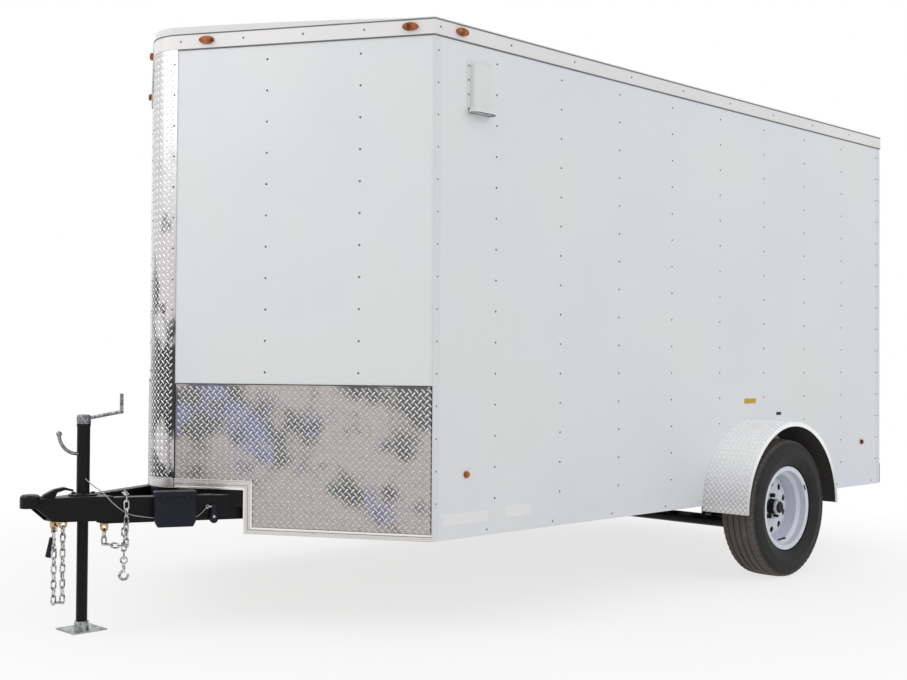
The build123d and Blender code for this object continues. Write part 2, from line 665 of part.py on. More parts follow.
def tyre(side):
    """A tyre turned from arcs: lower flank, upper flank, shoulder and crown."""
    half, bead_half = tyre_width / 2, rim_half_width - tyre_bead_inset
    inside, heel = rim_seat_radius + tyre_seat_play, rim_flange_radius + heel_rise
    widest, shoulder, crown = tyre_radius - widest_drop, tyre_radius - shoulder_drop, tyre_radius - crown_drop
    shoulder_half, tread_half = half - shoulder_inset, half - tread_inset
    middle, outward = (axle_x, side * wheel_y, axle_z), Vector(0, side, 0)
    plane = Plane(origin=middle, x_dir=outward, z_dir=outward.cross(Vector(0, 0, 1)))
    arcs = [((bead_half + 1, heel), (half - flank_inset, (heel + widest - flank_inset) / 2), (half, widest)),
            ((half, widest), (half - shoulder_inset / 4, (widest + shoulder) / 2), (shoulder_half, shoulder)),
            ((shoulder_half, shoulder), (shoulder_half - 5, crown - 3), (tread_half, crown))]
    edges = [Line((-bead_half, inside), (bead_half, inside)).edge()]
    for way in (1, -1):
        edges.append(Line((way * bead_half, inside), (way * (bead_half + 1), heel)).edge())
        edges += [ThreePointArc(*[(way * along, radius) for along, radius in arc]).edge() for arc in arcs]
    edges.append(ThreePointArc((tread_half, crown), (0, tyre_radius), (-tread_half, crown)).edge())
    return revolve(plane * make_face(edges), Axis(middle, outward))


hole_count, hole_circle_radius, hole_radius = 10, 117.5, 16.5
rim_sheet, rim_well = 4.0, 20.0
hub_bore_radius, stud_hole_radius, stud_radius = 41.0, 7.5, 6.0


def around(count, radius, middle, start=0.0):
    """Places evenly spaced on a circle about the wheel's axis."""
    for index in range(count):
        angle = radians(start) + 2 * pi * index / count
        yield middle[0] + radius * cos(angle), middle[2] + radius * sin(angle)


def rim(side):
    middle = (axle_x, side * wheel_y, axle_z)
    w, seat = rim_half_width, rim_seat_radius
    well = seat - rim_well
    barrel = [(-w, rim_flange_radius), (-w + 5, rim_flange_radius), (-w + 8, seat), (-w + 34, seat - 2),
              (-w + 48, well), (w - 48, well), (w - 34, seat - 2), (w - 8, seat), (w - 5, rim_flange_radius),
              (w, rim_flange_radius), (w - 3, seat - rim_sheet), (w - 32, seat - 2 - rim_sheet),
              (w - 46, well - rim_sheet), (-w + 46, well - rim_sheet), (-w + 32, seat - 2 - rim_sheet),
              (-w + 3, seat - rim_sheet)]
    weld = seat - 11    # disc's edge, let into the slope of the well
    disc = [(-38, weld), (-14, 140), (-10, 105), (hub_face + 5, 86), (hub_face + 5, hub_bore_radius),
            (hub_face, hub_bore_radius), (hub_face, 88), (-15, 107), (-19, 138), (-44, weld + 6.5)]
    wheel = turned(barrel, middle, (0, side, 0)) + turned(disc, middle, (0, side, 0))
    y0, y1 = middle[1] - side * 50, middle[1] + side * 20
    for x, z in around(hole_count, hole_circle_radius, middle, 18):
        wheel -= rod((x, y0, z), (x, y1, z), hole_radius)
    for x, z in around(stud_count, stud_circle_radius, middle, 90):
        wheel -= rod((x, y0, z), (x, y1, z), stud_hole_radius)
    return wheel


drum_radius, drum_gap = 140.0, 4.0
drum_back = arm_outer + backing_thickness + drum_gap - wheel_y
barrel_end, cap_end, cap_radius = 30.0, 42.0, 30.0
nut_size, nut_height, stud_length = 19.0, 22.0, 28.0


def hub(side):
    middle = (axle_x, side * wheel_y, axle_z)
    bore, bore_end = spindle_radius + bearing_play, spindle_end - wheel_y + 4
    profile = [(drum_back, drum_radius - 6), (drum_back, drum_radius), (hub_face, drum_radius - 8),
               (hub_face, hub_bore_radius - 1), (barrel_end, hub_bore_radius - 4), (barrel_end, cap_radius),
               (cap_end - 6, cap_radius), (cap_end, cap_radius - 8), (cap_end, 0), (bore_end, 0), (bore_end, bore),
               (drum_back, bore), (drum_back, 45), (hub_face - 12, 45), (hub_face - 12, drum_radius - 14)]
    shape = turned(profile, middle, (0, side, 0))
    for x, z in around(stud_count, stud_circle_radius, middle, 90):
        face = middle[1] + side * hub_face
        shape += rod((x, face, z), (x, face + side * stud_length, z), stud_radius)
        plane = Plane(origin=(x, face + side * 5, z), z_dir=(0, side, 0))
        shape += extrude(plane * RegularPolygon(nut_size / 2, 6, major_radius=False), nut_height)
    return shape


for side, name in ((1, "left"), (-1, "right")):
    node(f"tyre_{name}", tyre(side))
    node(f"rim_{name}", rim(side))
    node(f"hub_{name}", hub(side))

# Coupler: a forked channel over the rails' ends with a ball socket at its tip
coupler_top = frame_top + coupler_plate
socket_outer = socket_radius + socket_wall
socket_x = tip_x - socket_outer
socket_high = socket_ball_z + socket_radius + socket_wall - 3
coupler_back = tip_x - coupler_length
flange_low = rail_low + 12
flange = 6.0
web_low = flange_low + 6
web_back = jack_x + jack_tube_radius + 8
web_reach = 48.0
neck_setback, neck_inset, cup_round = 10.0, 4.0, 14.0


def fork_edge(x, out=0.0):
    return rail_edge(x) + out / cos(fork)


def coupler():
    neck_x = socket_x - neck_setback
    neck = socket_outer - neck_inset
    waist_x = apex_x - (neck - flange / cos(fork)) / tan(fork)
    web_front = waist_x + web_reach
    plan = [(coupler_back, fork_edge(coupler_back, flange)), (waist_x, neck), (neck_x, neck)]
    mirrored = [(x, -y) for x, y in reversed(plan)]
    top = slab(make_face(Polyline(*plan, *mirrored, close=True)), frame_top, coupler_top)
    side_in = [(waist_x, neck - flange), (coupler_back, fork_edge(coupler_back))]
    cheek = slab(make_face(Polyline(*plan[:2], *side_in, close=True)), flange_low, frame_top)
    face = make_face(Polyline((waist_x, frame_top), (neck_x, frame_top), (neck_x, socket_low), (web_front, web_low),
                              (waist_x, flange_low), close=True))
    side_plane = Plane(origin=(0, neck, 0), x_dir=(1, 0, 0), z_dir=(0, -1, 0))
    neck_side = extrude(side_plane * face, flange, dir=(0, -1, 0))
    shell = top + cheek + right_of(cheek) + neck_side + right_of(neck_side)
    web = [(web_back, fork_edge(web_back)), (waist_x, neck - flange), (web_front, neck - flange)]
    web += [(x, -y) for x, y in reversed(web)]
    shell += slab(make_face(Polyline(*web, close=True)), web_low, web_low + flange)
    cup = rod((socket_x, 0, socket_low), (socket_x, 0, socket_high), socket_outer)
    shell += fillet(cup.edges().group_by(Axis.Z)[-1], cup_round)
    shell -= rod((socket_x, 0, socket_low - 1), (socket_x, 0, socket_ball_z), socket_radius)
    shell -= Pos(socket_x, 0, socket_ball_z) * Sphere(socket_radius)
    return shell - rod((jack_x, 0, 0), (jack_x, 0, jack_tube_high), jack_tube_radius)


node("coupler", coupler())
latch_front = socket_x - socket_outer
latch_width = 22.0
lever_side = [(0, 0), (-20, 14), (-60, 32), (-100, 38), (-138, 26), (-138, 18), (-104, 26), (-70, 18), (-62, 0)]
lever_plane = Plane(origin=(latch_front, latch_width / 2, coupler_top), x_dir=(1, 0, 0), z_dir=(0, -1, 0))
node("coupler_latch", extrude(lever_plane * make_face(Polyline(*lever_side, close=True)), latch_width, dir=(0, -1, 0)))

# Jack: fixed tube through the coupler, cap with crank, and the sliding leg with its foot
tube = rod((jack_x, 0, jack_tube_low), (jack_x, 0, jack_tube_high), jack_tube_radius)
tube -= rod((jack_x, 0, jack_tube_low - 1), (jack_x, 0, jack_tube_high + 1), jack_tube_bore)
node("jack_tube", tube)
crank_swing = radians(135)
crank_reach, crank_rise, grip_length, crank_radius = 150.0, 30.0, 72.0, 7.0


def jack_crank():
    z = jack_tube_high + jack_cap_height / 2
    cap = rod((jack_x, 0, jack_tube_high), (jack_x, 0, jack_tube_high + jack_cap_height), jack_tube_radius + 2)
    cap = fillet(cap.edges().group_by(Axis.Z)[-1], 10)
    elbow = (jack_x + crank_reach * cos(crank_swing), crank_reach * sin(crank_swing), z + crank_rise)
    arm = rod((jack_x, 0, z), elbow, crank_radius)
    grip = rod(elbow, (elbow[0], elbow[1], elbow[2] + grip_length), crank_radius)
    return cap + arm + Pos(*elbow) * Sphere(crank_radius + 1) + grip


node("jack_crank", jack_crank())
hook_drop, hook_reach, hook_rise, hook_radius = 118.0, 80.0, 80.0, 7.0
hook_z = jack_tube_high - hook_drop


def jack_hook():
    """A bent rod on the tube's front with a knob on its end."""
    start = (jack_x + jack_tube_radius - 1, 0, hook_z)
    midway = (hook_reach * sin(pi / 4), hook_rise * (1 - cos(pi / 4)))
    bend = ThreePointArc((0, 0), midway, (hook_reach, hook_rise))
    plane = Plane(origin=start, x_dir=(1, 0, 0), z_dir=(0, -1, 0))
    stem = sweep_along(plane, bend, hook_radius)
    return stem + Pos(start[0] + hook_reach, 0, hook_z + hook_rise) * Sphere(hook_radius + 4) - rod(
        (jack_x, 0, 0), (jack_x, 0, jack_tube_high), jack_tube_radius)


node("jack_hook", jack_hook())
node("jack_leg", rod((jack_x, 0, foot_thickness), (jack_x, 0, jack_leg_top), jack_leg_radius))
foot = block(jack_x - foot_side / 2, jack_x + foot_side / 2, -foot_side / 2, foot_side / 2, 0, foot_thickness)
foot += rod((jack_x, 0, foot_thickness), (jack_x, 0, foot_thickness + collar_height), jack_leg_radius + 6)
foot -= rod((jack_x, 0, foot_thickness), (jack_x, 0, jack_leg_top), jack_leg_radius)
node("jack_foot", foot)

# Breakaway box and switch on the left rail's outer face
rail_out = Vector(sin(fork), cos(fork), 0)
rail_back = Vector(-cos(fork), sin(fork), 0)
battery_reach, battery_low = 194.0, 408.0
battery_length, battery_height, battery_depth, battery_bevel = 160.0, 140.0, 72.0, 5.0
cable_slot, cable_room = 60.0, 14.0    # recess behind the box that the breakaway cable runs through
switch_reach, switch_z = 51.5, 450.0
switch_round, switch_neck, switch_height, switch_depth = 17.0, 9.0, 74.0, 30.0


def rail_plane(reach, z):
    """A plane on the left rail's outer face: local X runs back along the rail, local Y up."""
    x = rail_exit_x + reach
    return Plane(origin=(x, rail_edge(x), z), x_dir=rail_back, z_dir=rail_out)


def battery_box():
    half, taper = battery_length / 2, 22.0
    outline = make_face(Polyline((-half, battery_height), (half, battery_height), (half, taper),
                                 (half - taper / 2, 0), (-half + taper / 2, 0), (-half, taper), close=True))
    plane = rail_plane(battery_reach, battery_low)
    case = extrude(plane * outline, battery_depth, dir=rail_out)
    case = chamfer(case.faces().sort_by(Axis(plane.origin, rail_out))[-1].edges(), battery_bevel)
    recess = plane * Pos(0, cable_slot / 2 - 1) * Rectangle(battery_length + 2, cable_slot + 2)
    return case - extrude(recess, cable_room, dir=rail_out)


node("battery_box", battery_box())
switch_plane = rail_plane(switch_reach, switch_z - switch_height / 2)
switch_side = [ThreePointArc((-switch_round, switch_round), (0, 0), (switch_round, switch_round)).edge(),
               *Polyline((switch_round, switch_round), (switch_neck, switch_height - switch_neck),
                         (switch_neck, switch_height), (-switch_neck, switch_height),
                         (-switch_neck, switch_height - switch_neck), (-switch_round, switch_round)).edges()]
node("breakaway_switch", extrude(switch_plane * make_face(switch_side), switch_depth, dir=rail_out))


# Safety chains: alternate flat-sided links that hang from lugs under the coupler and the left rail
def chain_link(middle, along, across):
    half_length, half_width, cut = chain_pitch / 2 + chain_wire, chain_inner_width / 2 + chain_wire, chain_wire

    def ring(length, width, corner):
        return make_face(Polyline((length, width - corner), (length - corner, width), (corner - length, width),
                                  (-length, width - corner), (-length, corner - width), (corner - length, -width),
                                  (length - corner, -width), (length, corner - width), close=True))

    outline = ring(half_length, half_width, cut) - ring(chain_pitch / 2, chain_inner_width / 2, cut / 4)
    plane = Plane(origin=middle, x_dir=along, z_dir=across)
    return extrude(plane * outline, chain_wire / 2, both=True)


link_step = chain_pitch - chain_play
wire_middle = (chain_pitch + chain_wire) / 2    # link's middle to the middle of its end wire


def strand(x, y, top, count, across, twist=0.0):
    """Upright links below one another, the first with its middle at top and its flat facing across."""
    links = []
    for index in range(count):
        turn = twist * index / (count - 1) + 90 * (index % 2)
        links.append(chain_link((x, y, top - index * link_step), (0, 0, 1), Vector(across).rotate(Axis.Z, turn)))
    return links


def bridge(start, end, play=0.0):
    """Three links slung between the end wires of two upright strands; they sag as far as the span lets them."""
    start, end = Vector(*start), Vector(*end)
    along = (end - start).normalized()
    half_step = (link_step - play) / 2
    reach = half_step + wire_middle
    share = ((end - start).length / 2 - half_step) / reach
    middle = (start + end) * 0.5 - Vector(0, 0, reach * sin(acos(min(share, 1.0))))
    side = along.cross(Vector(0, 0, 1)).normalized()
    links = [chain_link(middle, along, side)]
    for tip, way in ((start, -1), (end, 1)):
        joint = middle + along * (way * half_step)
        out = (tip - joint).normalized()
        links.append(chain_link(joint + out * half_step, out, out.cross(side)))
    return links


lug_hole, lug_rim, lug_drop = 9.0, 8.0, 17.0
eye_play = 0.8              # a round eye meets a flat link at the link's corners


def chain_lug(x, y, top, along):
    """A flat ear under the chassis with the hole that holds a chain's first link."""
    plane = Plane(origin=(x, y, top), x_dir=along, z_dir=Vector(along).cross(Vector(0, 0, 1)))
    reach = lug_hole + lug_rim
    ear = extrude(plane * Pos(0, -lug_drop / 2) * Rectangle(2 * reach, lug_drop), chain_wire / 2, both=True)
    middle = Vector(x, y, top - lug_drop)
    side = plane.z_dir * (chain_wire / 2)
    ear += rod(middle - side, middle + side, reach)
    return ear - rod(middle - side * 2, middle + side * 2, lug_hole)


hook_rim, hook_shank, bowl_radius, hook_bar = 7.0, 12.0, 11.0, 11.0


def slip_hook(x, y, z, along, way, length=61.0):
    """A flat-forged hook on an upright chain: its eye's middle at z, its bowl that far below or above."""
    plane = Plane(origin=(x, y, z), x_dir=along, z_dir=Vector(along).cross(Vector(0, 0, way)))
    eye = Circle(lug_hole + hook_rim) - Circle(lug_hole)
    shank_length = length - bowl_radius - lug_hole - 2
    shank = Pos(0, (bowl_radius - lug_hole - length) / 2) * Rectangle(hook_shank, shank_length)
    bowl = Circle(bowl_radius + hook_bar) - Circle(bowl_radius)
    gate = 2 * bowl_radius
    opening = Pos(bowl_radius + hook_shank / 2, bowl_radius + hook_bar / 2) * Rectangle(gate, gate)
    return extrude(plane * (eye + shank + Pos(0, -length) * (bowl - opening)), chain_wire / 2, both=True)


hung = lug_drop + lug_hole - eye_play + link_step / 2    # lug's top face to the middle of its first link
wire_clear = (chain_pitch - chain_wire - chain_play) / 2    # link's middle to a wire that it holds crosswise

# Front chain: doubled, its end hook held in a second lug
front_lug_setback, front_lug_y, front_count = 168.0, 14.0, 10
front_x1 = tip_x - front_lug_setback
front_x2 = front_x1 + 2 * wire_middle
front_top = web_low - hung
front_low = front_top - (front_count - 1) * link_step
front_rise = 7
front_links = strand(front_x1, front_lug_y, front_top, front_count, (1, 0, 0))
lowest = ((front_x1 + front_x2) / 2, front_lug_y, front_low - wire_clear)
front_links.append(chain_link(lowest, (1, 0, 0), (0, 0, 1)))
front_links += strand(front_x2, front_lug_y, front_low + (front_rise - 1) * link_step, front_rise, (0, 1, 0))
front_eye = front_low + (front_rise - 1) * link_step + link_step / 2 + lug_hole - eye_play
front_bowl = web_low - lug_drop - bowl_radius - hook_bar / 2
front_hook = slip_hook(front_x2, front_lug_y, front_eye, (0, 1, 0), -1, front_bowl - front_eye)

# Rail chain: from a lug under the left rail, slung out and up the rail's face, over its top and down behind
rail_lug_setback, rail_rise, rail_fall = 314.0, 7, 9
eye_x = tip_x - rail_lug_setback
eye_spot = Vector(eye_x, rail_edge(eye_x, rail_width / 2), 0)
over_half = link_step + wire_middle    # rail's middle to the strands beside it
over_z = frame_top + chain_inner_width / 2 + chain_wire + 0.3
sling_span = 94.0
outer_spot = eye_spot + rail_out * over_half + rail_back * sqrt(sling_span ** 2 - over_half ** 2)
inner_spot = outer_spot - rail_out * (2 * over_half)
rail_top = over_z - wire_clear
rail_first = rail_low - hung
rail_second = rail_first - link_step
outer_low = rail_top - (rail_rise - 1) * link_step
sling_play = 0.5            # the slung links lie askew of each other
sling_clear = wire_clear - 1.5 * sling_play
sling = (outer_spot - eye_spot).normalized()
twist = 90 - rail_back.get_angle(sling)    # turn of the outer strand between the rail's top and the sling
rail_links = strand(eye_spot.X, eye_spot.Y, rail_first, 2, sling)
rail_links += bridge((eye_spot.X, eye_spot.Y, rail_second - sling_clear),
                     (outer_spot.X, outer_spot.Y, outer_low - sling_clear), sling_play)
rail_links += strand(outer_spot.X, outer_spot.Y, rail_top, rail_rise, rail_back, twist)
rail_links += bridge((outer_spot.X, outer_spot.Y, over_z), (inner_spot.X, inner_spot.Y, over_z))
rail_links += strand(inner_spot.X, inner_spot.Y, rail_top, rail_fall, rail_back)
rail_eye = rail_top - (rail_fall - 0.5) * link_step + eye_play - lug_hole
node("chain_lugs", chain_lug(front_x1, front_lug_y, web_low, (1, 0, 0)),
     chain_lug(front_x2, front_lug_y, web_low, (1, 0, 0)), chain_lug(eye_spot.X, eye_spot.Y, rail_low, sling))
node("safety_chain_front", *front_links)
node("safety_chain_rail", *rail_links)
node("chain_hooks", front_hook, slip_hook(inner_spot.X, inner_spot.Y, rail_eye, rail_back, 1))


# Free cords: tubes of straight runs joined by arcs as large as the runs allow
def cord_tube(points, radius):
    points = [Vector(*point) for point in points]
    radii = []
    for before, corner, after in zip(points, points[1:], points[2:]):
        come, leave = corner - before, after - corner
        half_turn = radians(come.get_angle(leave)) / 2
        radii.append(0.45 * min(come.length, leave.length) / tan(half_turn))
    print("cord arcs", [round(r) for r in radii], "diameter", 2 * radius)
    path = FilletPolyline(*points, radius=radii)
    tube = sweep(Plane(origin=path @ 0, z_dir=path % 0) * Circle(radius), path=path)
    share = tube.volume / (pi * radius ** 2 * path.length)
    print("cord length", round(path.length, 1), "volume ratio", round(share, 4))
    return tube


plug_radius, plug_length, plug_cord_radius = 13.0, 78.0, 4.5
plug_top = (tip_x - 143, -18, 372)
plug_route = [(tip_x - 150, -14, web_low), (tip_x - 150, -14, web_low - 24),
              (tip_x - 147, -15.5, web_low - 47), plug_top]
node("plug_cord", cord_tube(plug_route, plug_cord_radius))
plug_dir = (Vector(*plug_top) - Vector(*plug_route[-2])).normalized()
plug_body = rod(plug_top, Vector(*plug_top) + plug_dir * plug_length, plug_radius)
plug_body = fillet(plug_body.edges(), 3)
node("trailer_plug", plug_body)


def beside_rail(reach, out, z):
    """A point beside the left rail's outer face, ahead of where the rail comes out from under the nose."""
    x = rail_exit_x + reach
    spot = Vector(x, rail_edge(x), z) + rail_out * out
    return (spot.X, spot.Y, spot.Z)


cable_radius = 2.0
tube_side = jack_tube_radius + cable_radius + 0.3
cable_route = [beside_rail(72, 15, 479), beside_rail(80, 14, 473), beside_rail(91, 11, 459),
               beside_rail(104, 8, 445), beside_rail(125, 7, 434), beside_rail(161, 7, 428),
               beside_rail(209, 7, 430), beside_rail(261, 6.5, 440), beside_rail(309, 6, 447),
               beside_rail(351, 5.5, 456), beside_rail(387, 6.5, 482), beside_rail(417, 10, 514),
               beside_rail(441, 8, 546), (jack_x - 13, 40, 575), (jack_x + 6, tube_side, 600)]
node("breakaway_cable", cord_tube(cable_route, cable_radius))
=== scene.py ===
"""Dresses the packed v-nose cargo trailer: finishes, tread plate, fasteners, trims, running gear, stage."""

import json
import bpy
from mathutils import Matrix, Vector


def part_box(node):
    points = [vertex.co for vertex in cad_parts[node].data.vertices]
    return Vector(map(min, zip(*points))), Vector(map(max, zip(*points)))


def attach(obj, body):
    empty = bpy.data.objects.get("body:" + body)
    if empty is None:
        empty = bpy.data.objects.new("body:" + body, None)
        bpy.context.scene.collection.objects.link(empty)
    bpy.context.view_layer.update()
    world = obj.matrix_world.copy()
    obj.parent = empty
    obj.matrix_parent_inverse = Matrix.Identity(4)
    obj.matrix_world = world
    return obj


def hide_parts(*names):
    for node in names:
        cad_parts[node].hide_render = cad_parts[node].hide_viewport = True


bl_info = {
    "name": "V-nose cargo trailer",
    "version": (1, 0, 0),
    "blender": (4, 5, 0),
    "location": "View3D > Sidebar > Trailer",
    "description": "Dresses a packed cargo trailer with finishes, small fittings and a studio stage",
    "category": "Object",
}

from itertools import product
from math import cos, pi, radians, sin, tan

import bmesh
import bpy
import numpy as np
from bpy.props import FloatProperty, FloatVectorProperty, IntProperty, PointerProperty
from mathutils import Matrix, Vector

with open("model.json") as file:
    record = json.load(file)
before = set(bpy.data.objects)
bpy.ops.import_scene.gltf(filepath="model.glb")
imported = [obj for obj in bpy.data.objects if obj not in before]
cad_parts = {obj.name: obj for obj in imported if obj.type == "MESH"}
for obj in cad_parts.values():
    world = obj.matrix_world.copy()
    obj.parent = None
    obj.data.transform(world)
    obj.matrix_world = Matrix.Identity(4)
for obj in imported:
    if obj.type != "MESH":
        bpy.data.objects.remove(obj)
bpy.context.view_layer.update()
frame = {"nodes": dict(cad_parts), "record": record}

# Places read from the frame, in metres
(REAR_X, _, SKIRT_Z), (CORNER_X, HALF_WIDTH, _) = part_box("wall_left")
TIP_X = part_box("coupler")[1][0]
FLOOR_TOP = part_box("floor")[1][2]
GUARD_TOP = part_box("stone_guards")[1][2]
BAND_LOW, BAND_HIGH = (corner[2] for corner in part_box("roof_band"))
AXLE = [(low + high) / 2 for low, high in zip(*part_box("tyre_left"))]
TYRE_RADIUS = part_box("tyre_left")[1][2] - AXLE[2]
FENDER_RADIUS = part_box("fender_left")[1][2] - AXLE[2]
FENDER_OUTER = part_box("fender_left")[1][1]
SIDE_LENGTH = CORNER_X - REAR_X

# Sizes of the CAD pieces that their boxes don't give
LEAN = radians(30.5)            # nose panels, off straight across
FORK = radians(25.0)            # tongue rails, off straight ahead
NOSE_RADIUS, CAP_PROUD = 0.178, 0.003
GUARD_THICKNESS, TRIM_THICKNESS, BAND_THICKNESS = 0.0025, 0.002, 0.004
GUARD_GAP = 0.0003              # between a guard and the nose cap
NOTCH_TRIM, SILL_TRIM = 0.040, 0.028        # heights of the guards' bright trim
NOTCH_ROOM = 0.071              # along a nose panel, from the tongue rail to its notch's edge
APEX_SETBACK, JACK_SETBACK, COUPLER_LENGTH = 0.102, 0.259, 0.330        # behind the coupler's tip

# Places that follow from both
CAP_ROUND = NOSE_RADIUS + CAP_PROUD
CAP_X = CORNER_X + HALF_WIDTH * tan(LEAN) - NOSE_RADIUS / cos(LEAN)
PANEL_LENGTH = (HALF_WIDTH - NOSE_RADIUS * sin(LEAN)) / cos(LEAN)
APEX_X, JACK_X = TIP_X - APEX_SETBACK, TIP_X - JACK_SETBACK
RAIL_EXIT = (HALF_WIDTH - (APEX_X - CORNER_X) * tan(FORK)) / (cos(LEAN) - sin(LEAN) * tan(FORK))
RAIL_EXIT_X = CORNER_X + RAIL_EXIT * sin(LEAN)
NOTCH_START = RAIL_EXIT - NOTCH_ROOM
MIRROR = Matrix.Scale(-1, 4, (0, 1, 0))
WHITE = (1.0, 1.0, 1.0, 1.0)


# Settings

class StageSettings(bpy.types.PropertyGroup):
    """Camera, light and floor"""
    eye: FloatVectorProperty(name="Eye", description="Camera position", subtype="TRANSLATION", unit="LENGTH",
                             default=(4.63856, 4.58419, 1.07164))
    turn: FloatVectorProperty(name="Turn", description="Camera yaw, pitch and roll", subtype="EULER",
                              unit="ROTATION", default=(radians(-134.49), radians(0.97), radians(0.37)))
    lens: FloatProperty(name="Lens", description="Focal length on a 36 mm sensor, in millimetres",
                        default=49.81)
    ambient: FloatProperty(name="Ambient", description="Strength of the even studio light", default=0.60)
    key: FloatProperty(name="Key", description="Power of the soft lamp ahead of the trailer", unit="POWER",
                       default=225.0)
    fill: FloatProperty(name="Fill", description="Power of the soft lamp beside the trailer", unit="POWER",
                        default=170.0)
    floor_radius: FloatProperty(name="Floor", description="Radius of the floor", unit="LENGTH", default=40.0)


class TreadSettings(bpy.types.PropertyGroup):
    """Raised lugs of the tread plate"""
    pitch: FloatProperty(name="Pitch", description="Distance between like lugs", unit="LENGTH",
                         default=0.0275)
    length: FloatProperty(name="Length", description="Length of a lug", unit="LENGTH", default=0.0240)
    width: FloatProperty(name="Width", description="Width of a lug", unit="LENGTH", default=0.0076)
    height: FloatProperty(name="Height", description="Height of a lug", unit="LENGTH", default=0.0018)


class FastenerSettings(bpy.types.PropertyGroup):
    """Screws of the wall skins"""
    stud_pitch: FloatProperty(name="Stud pitch", description="Distance between wall posts", unit="LENGTH",
                              default=0.4064)
    screw_pitch: FloatProperty(name="Screw pitch", description="Distance between screws on a post",
                               unit="LENGTH", default=0.127)
    head: FloatProperty(name="Head", description="Radius of a screw head", unit="LENGTH", default=0.0046)


class WheelSettings(bpy.types.PropertyGroup):
    """Tyre tread"""
    blocks: IntProperty(name="Blocks", description="Shoulder blocks round the tyre", default=64, min=16)
    groove: FloatProperty(name="Groove", description="Depth of the tread grooves", unit="LENGTH",
                          default=0.007)


# Node trees

class Wire:
    """An output socket of a material's node tree; arithmetic on it adds Math nodes."""

    def __init__(self, tree, socket=None):
        self.tree, self.socket = tree, socket

    def node(self, kind, pick=0, links=None, **settings):
        """A new node with its settings, then its socket values and links."""
        made = self.tree.nodes.new("ShaderNode" + kind)
        for name, value in settings.items():
            setattr(made, name, value)
        for key, value in (links or {}).items():
            self.feed(made.inputs[key], value)
        return Wire(self.tree, made.outputs[pick])

    def feed(self, socket, value):
        """Links a wire to a socket, or sets a plain value on it."""
        if isinstance(value, Wire):
            self.tree.links.new(value.socket, socket)
        else:
            socket.default_value = value

    def math(self, operation, first, second=0.0):
        return self.node("Math", operation=operation, links={0: first, 1: second})

    def __add__(self, other):
        return self.math("ADD", self, other)

    def __sub__(self, other):
        return self.math("SUBTRACT", self, other)

    def __rsub__(self, other):
        return self.math("SUBTRACT", other, self)

    def __mul__(self, other):
        return self.math("MULTIPLY", self, other)

    def __truediv__(self, other):
        return self.math("DIVIDE", self, other)

    def __abs__(self):
        return self.math("ABSOLUTE", self)

    __radd__, __rmul__ = __add__, __mul__

    def clip(self, low, high):
        """This value spread from 0 at low to 1 at high, smoothly."""
        return self.node("MapRange", interpolation_type="SMOOTHSTEP", links={0: self, 1: low, 2: high})

    def mix(self, first, second):
        """The first colour where this value is 0, the second where it is 1."""
        return self.node("Mix", 2, data_type="RGBA", links={0: self, 6: first, 7: second})


class Finish:
    """A material under construction: its coordinates, textures and Principled shader."""

    def __init__(self, name, **constants):
        self.material = bpy.data.materials.new(name)
        self.material.use_nodes = True
        tree = self.material.node_tree
        self.start = Wire(tree)
        self.shader = tree.nodes["Principled BSDF"]
        for key, value in constants.items():
            self.shader.inputs[key.replace("_", " ").title().replace("Ior", "IOR")].default_value = value
        self.place = self.start.node("TexCoord", "Object")

    def axis(self, name):
        """One coordinate of the surface point, in metres."""
        return self.start.node("SeparateXYZ", name, links={0: self.place})

    def stretch(self, x, y, z):
        """The surface point with its axes scaled."""
        return self.start.node("VectorMath", operation="MULTIPLY", links={0: self.place, 1: (x, y, z)})

    def noise(self, scale, detail, place=None):
        links = {"Vector": place or self.place, "Scale": scale, "Detail": detail}
        return self.start.node("TexNoise", links=links)

    def up(self):
        """How far the surface faces upward, from -1 to 1."""
        normal = self.start.node("NewGeometry", "Normal")
        return self.start.node("SeparateXYZ", "Z", links={0: normal})

    def bump(self, height, distance, strength):
        links = {"Height": height, "Distance": distance, "Strength": strength}
        self.put("Normal", self.start.node("Bump", links=links))

    def put(self, name, value):
        self.start.feed(self.shader.inputs[name], value)


def toned(colour, share):
    """A colour made darker, or lighter by a share above 1."""
    return (*(value * share for value in colour[:3]), 1)


def reach(one, other):
    """The distance that two crossing offsets make."""
    return one.math("SQRT", one * one + other * other)


def scuffs(made):
    """The fine scratches of mill-finish plate, from 0 to 1."""
    return made.noise(60, 4).clip(0.42, 0.75)


def rolled(made):
    """Gives plate the fine upright lines of its rolling."""
    made.bump(made.noise(420, 2, made.stretch(1, 1, 0.12)), 0.0004, 0.3)


def painted_skin(name, colour, shade, coat=0.25, level=0.5, rough=0.26):
    """Painted sheet: faint cloudiness that is a painted bluish reflection, a little road film low down and
    the slight waves of thin metal.
    """
    made = Finish(name, coat_weight=coat, coat_roughness=0.12, specular_ior_level=level)
    # Painted reflection: soft bluish patches standing in for the sky mirrored in the paint
    painted_reflection_cloud = made.noise(1.7, 4)
    film = (1 - made.axis("Z").clip(0.38, 0.78)) * made.noise(9, 5).clip(0.42, 0.72)
    made.put("Base Color", (painted_reflection_cloud.clip(0.3, 0.75) * 0.55 + film * 0.3).mix(colour, shade))
    made.put("Roughness", made.noise(6, 4) * 0.12 + rough)
    made.bump(made.noise(2.4, 1, made.stretch(1, 1, 0.45)), 0.004, 0.35)
    return made.material


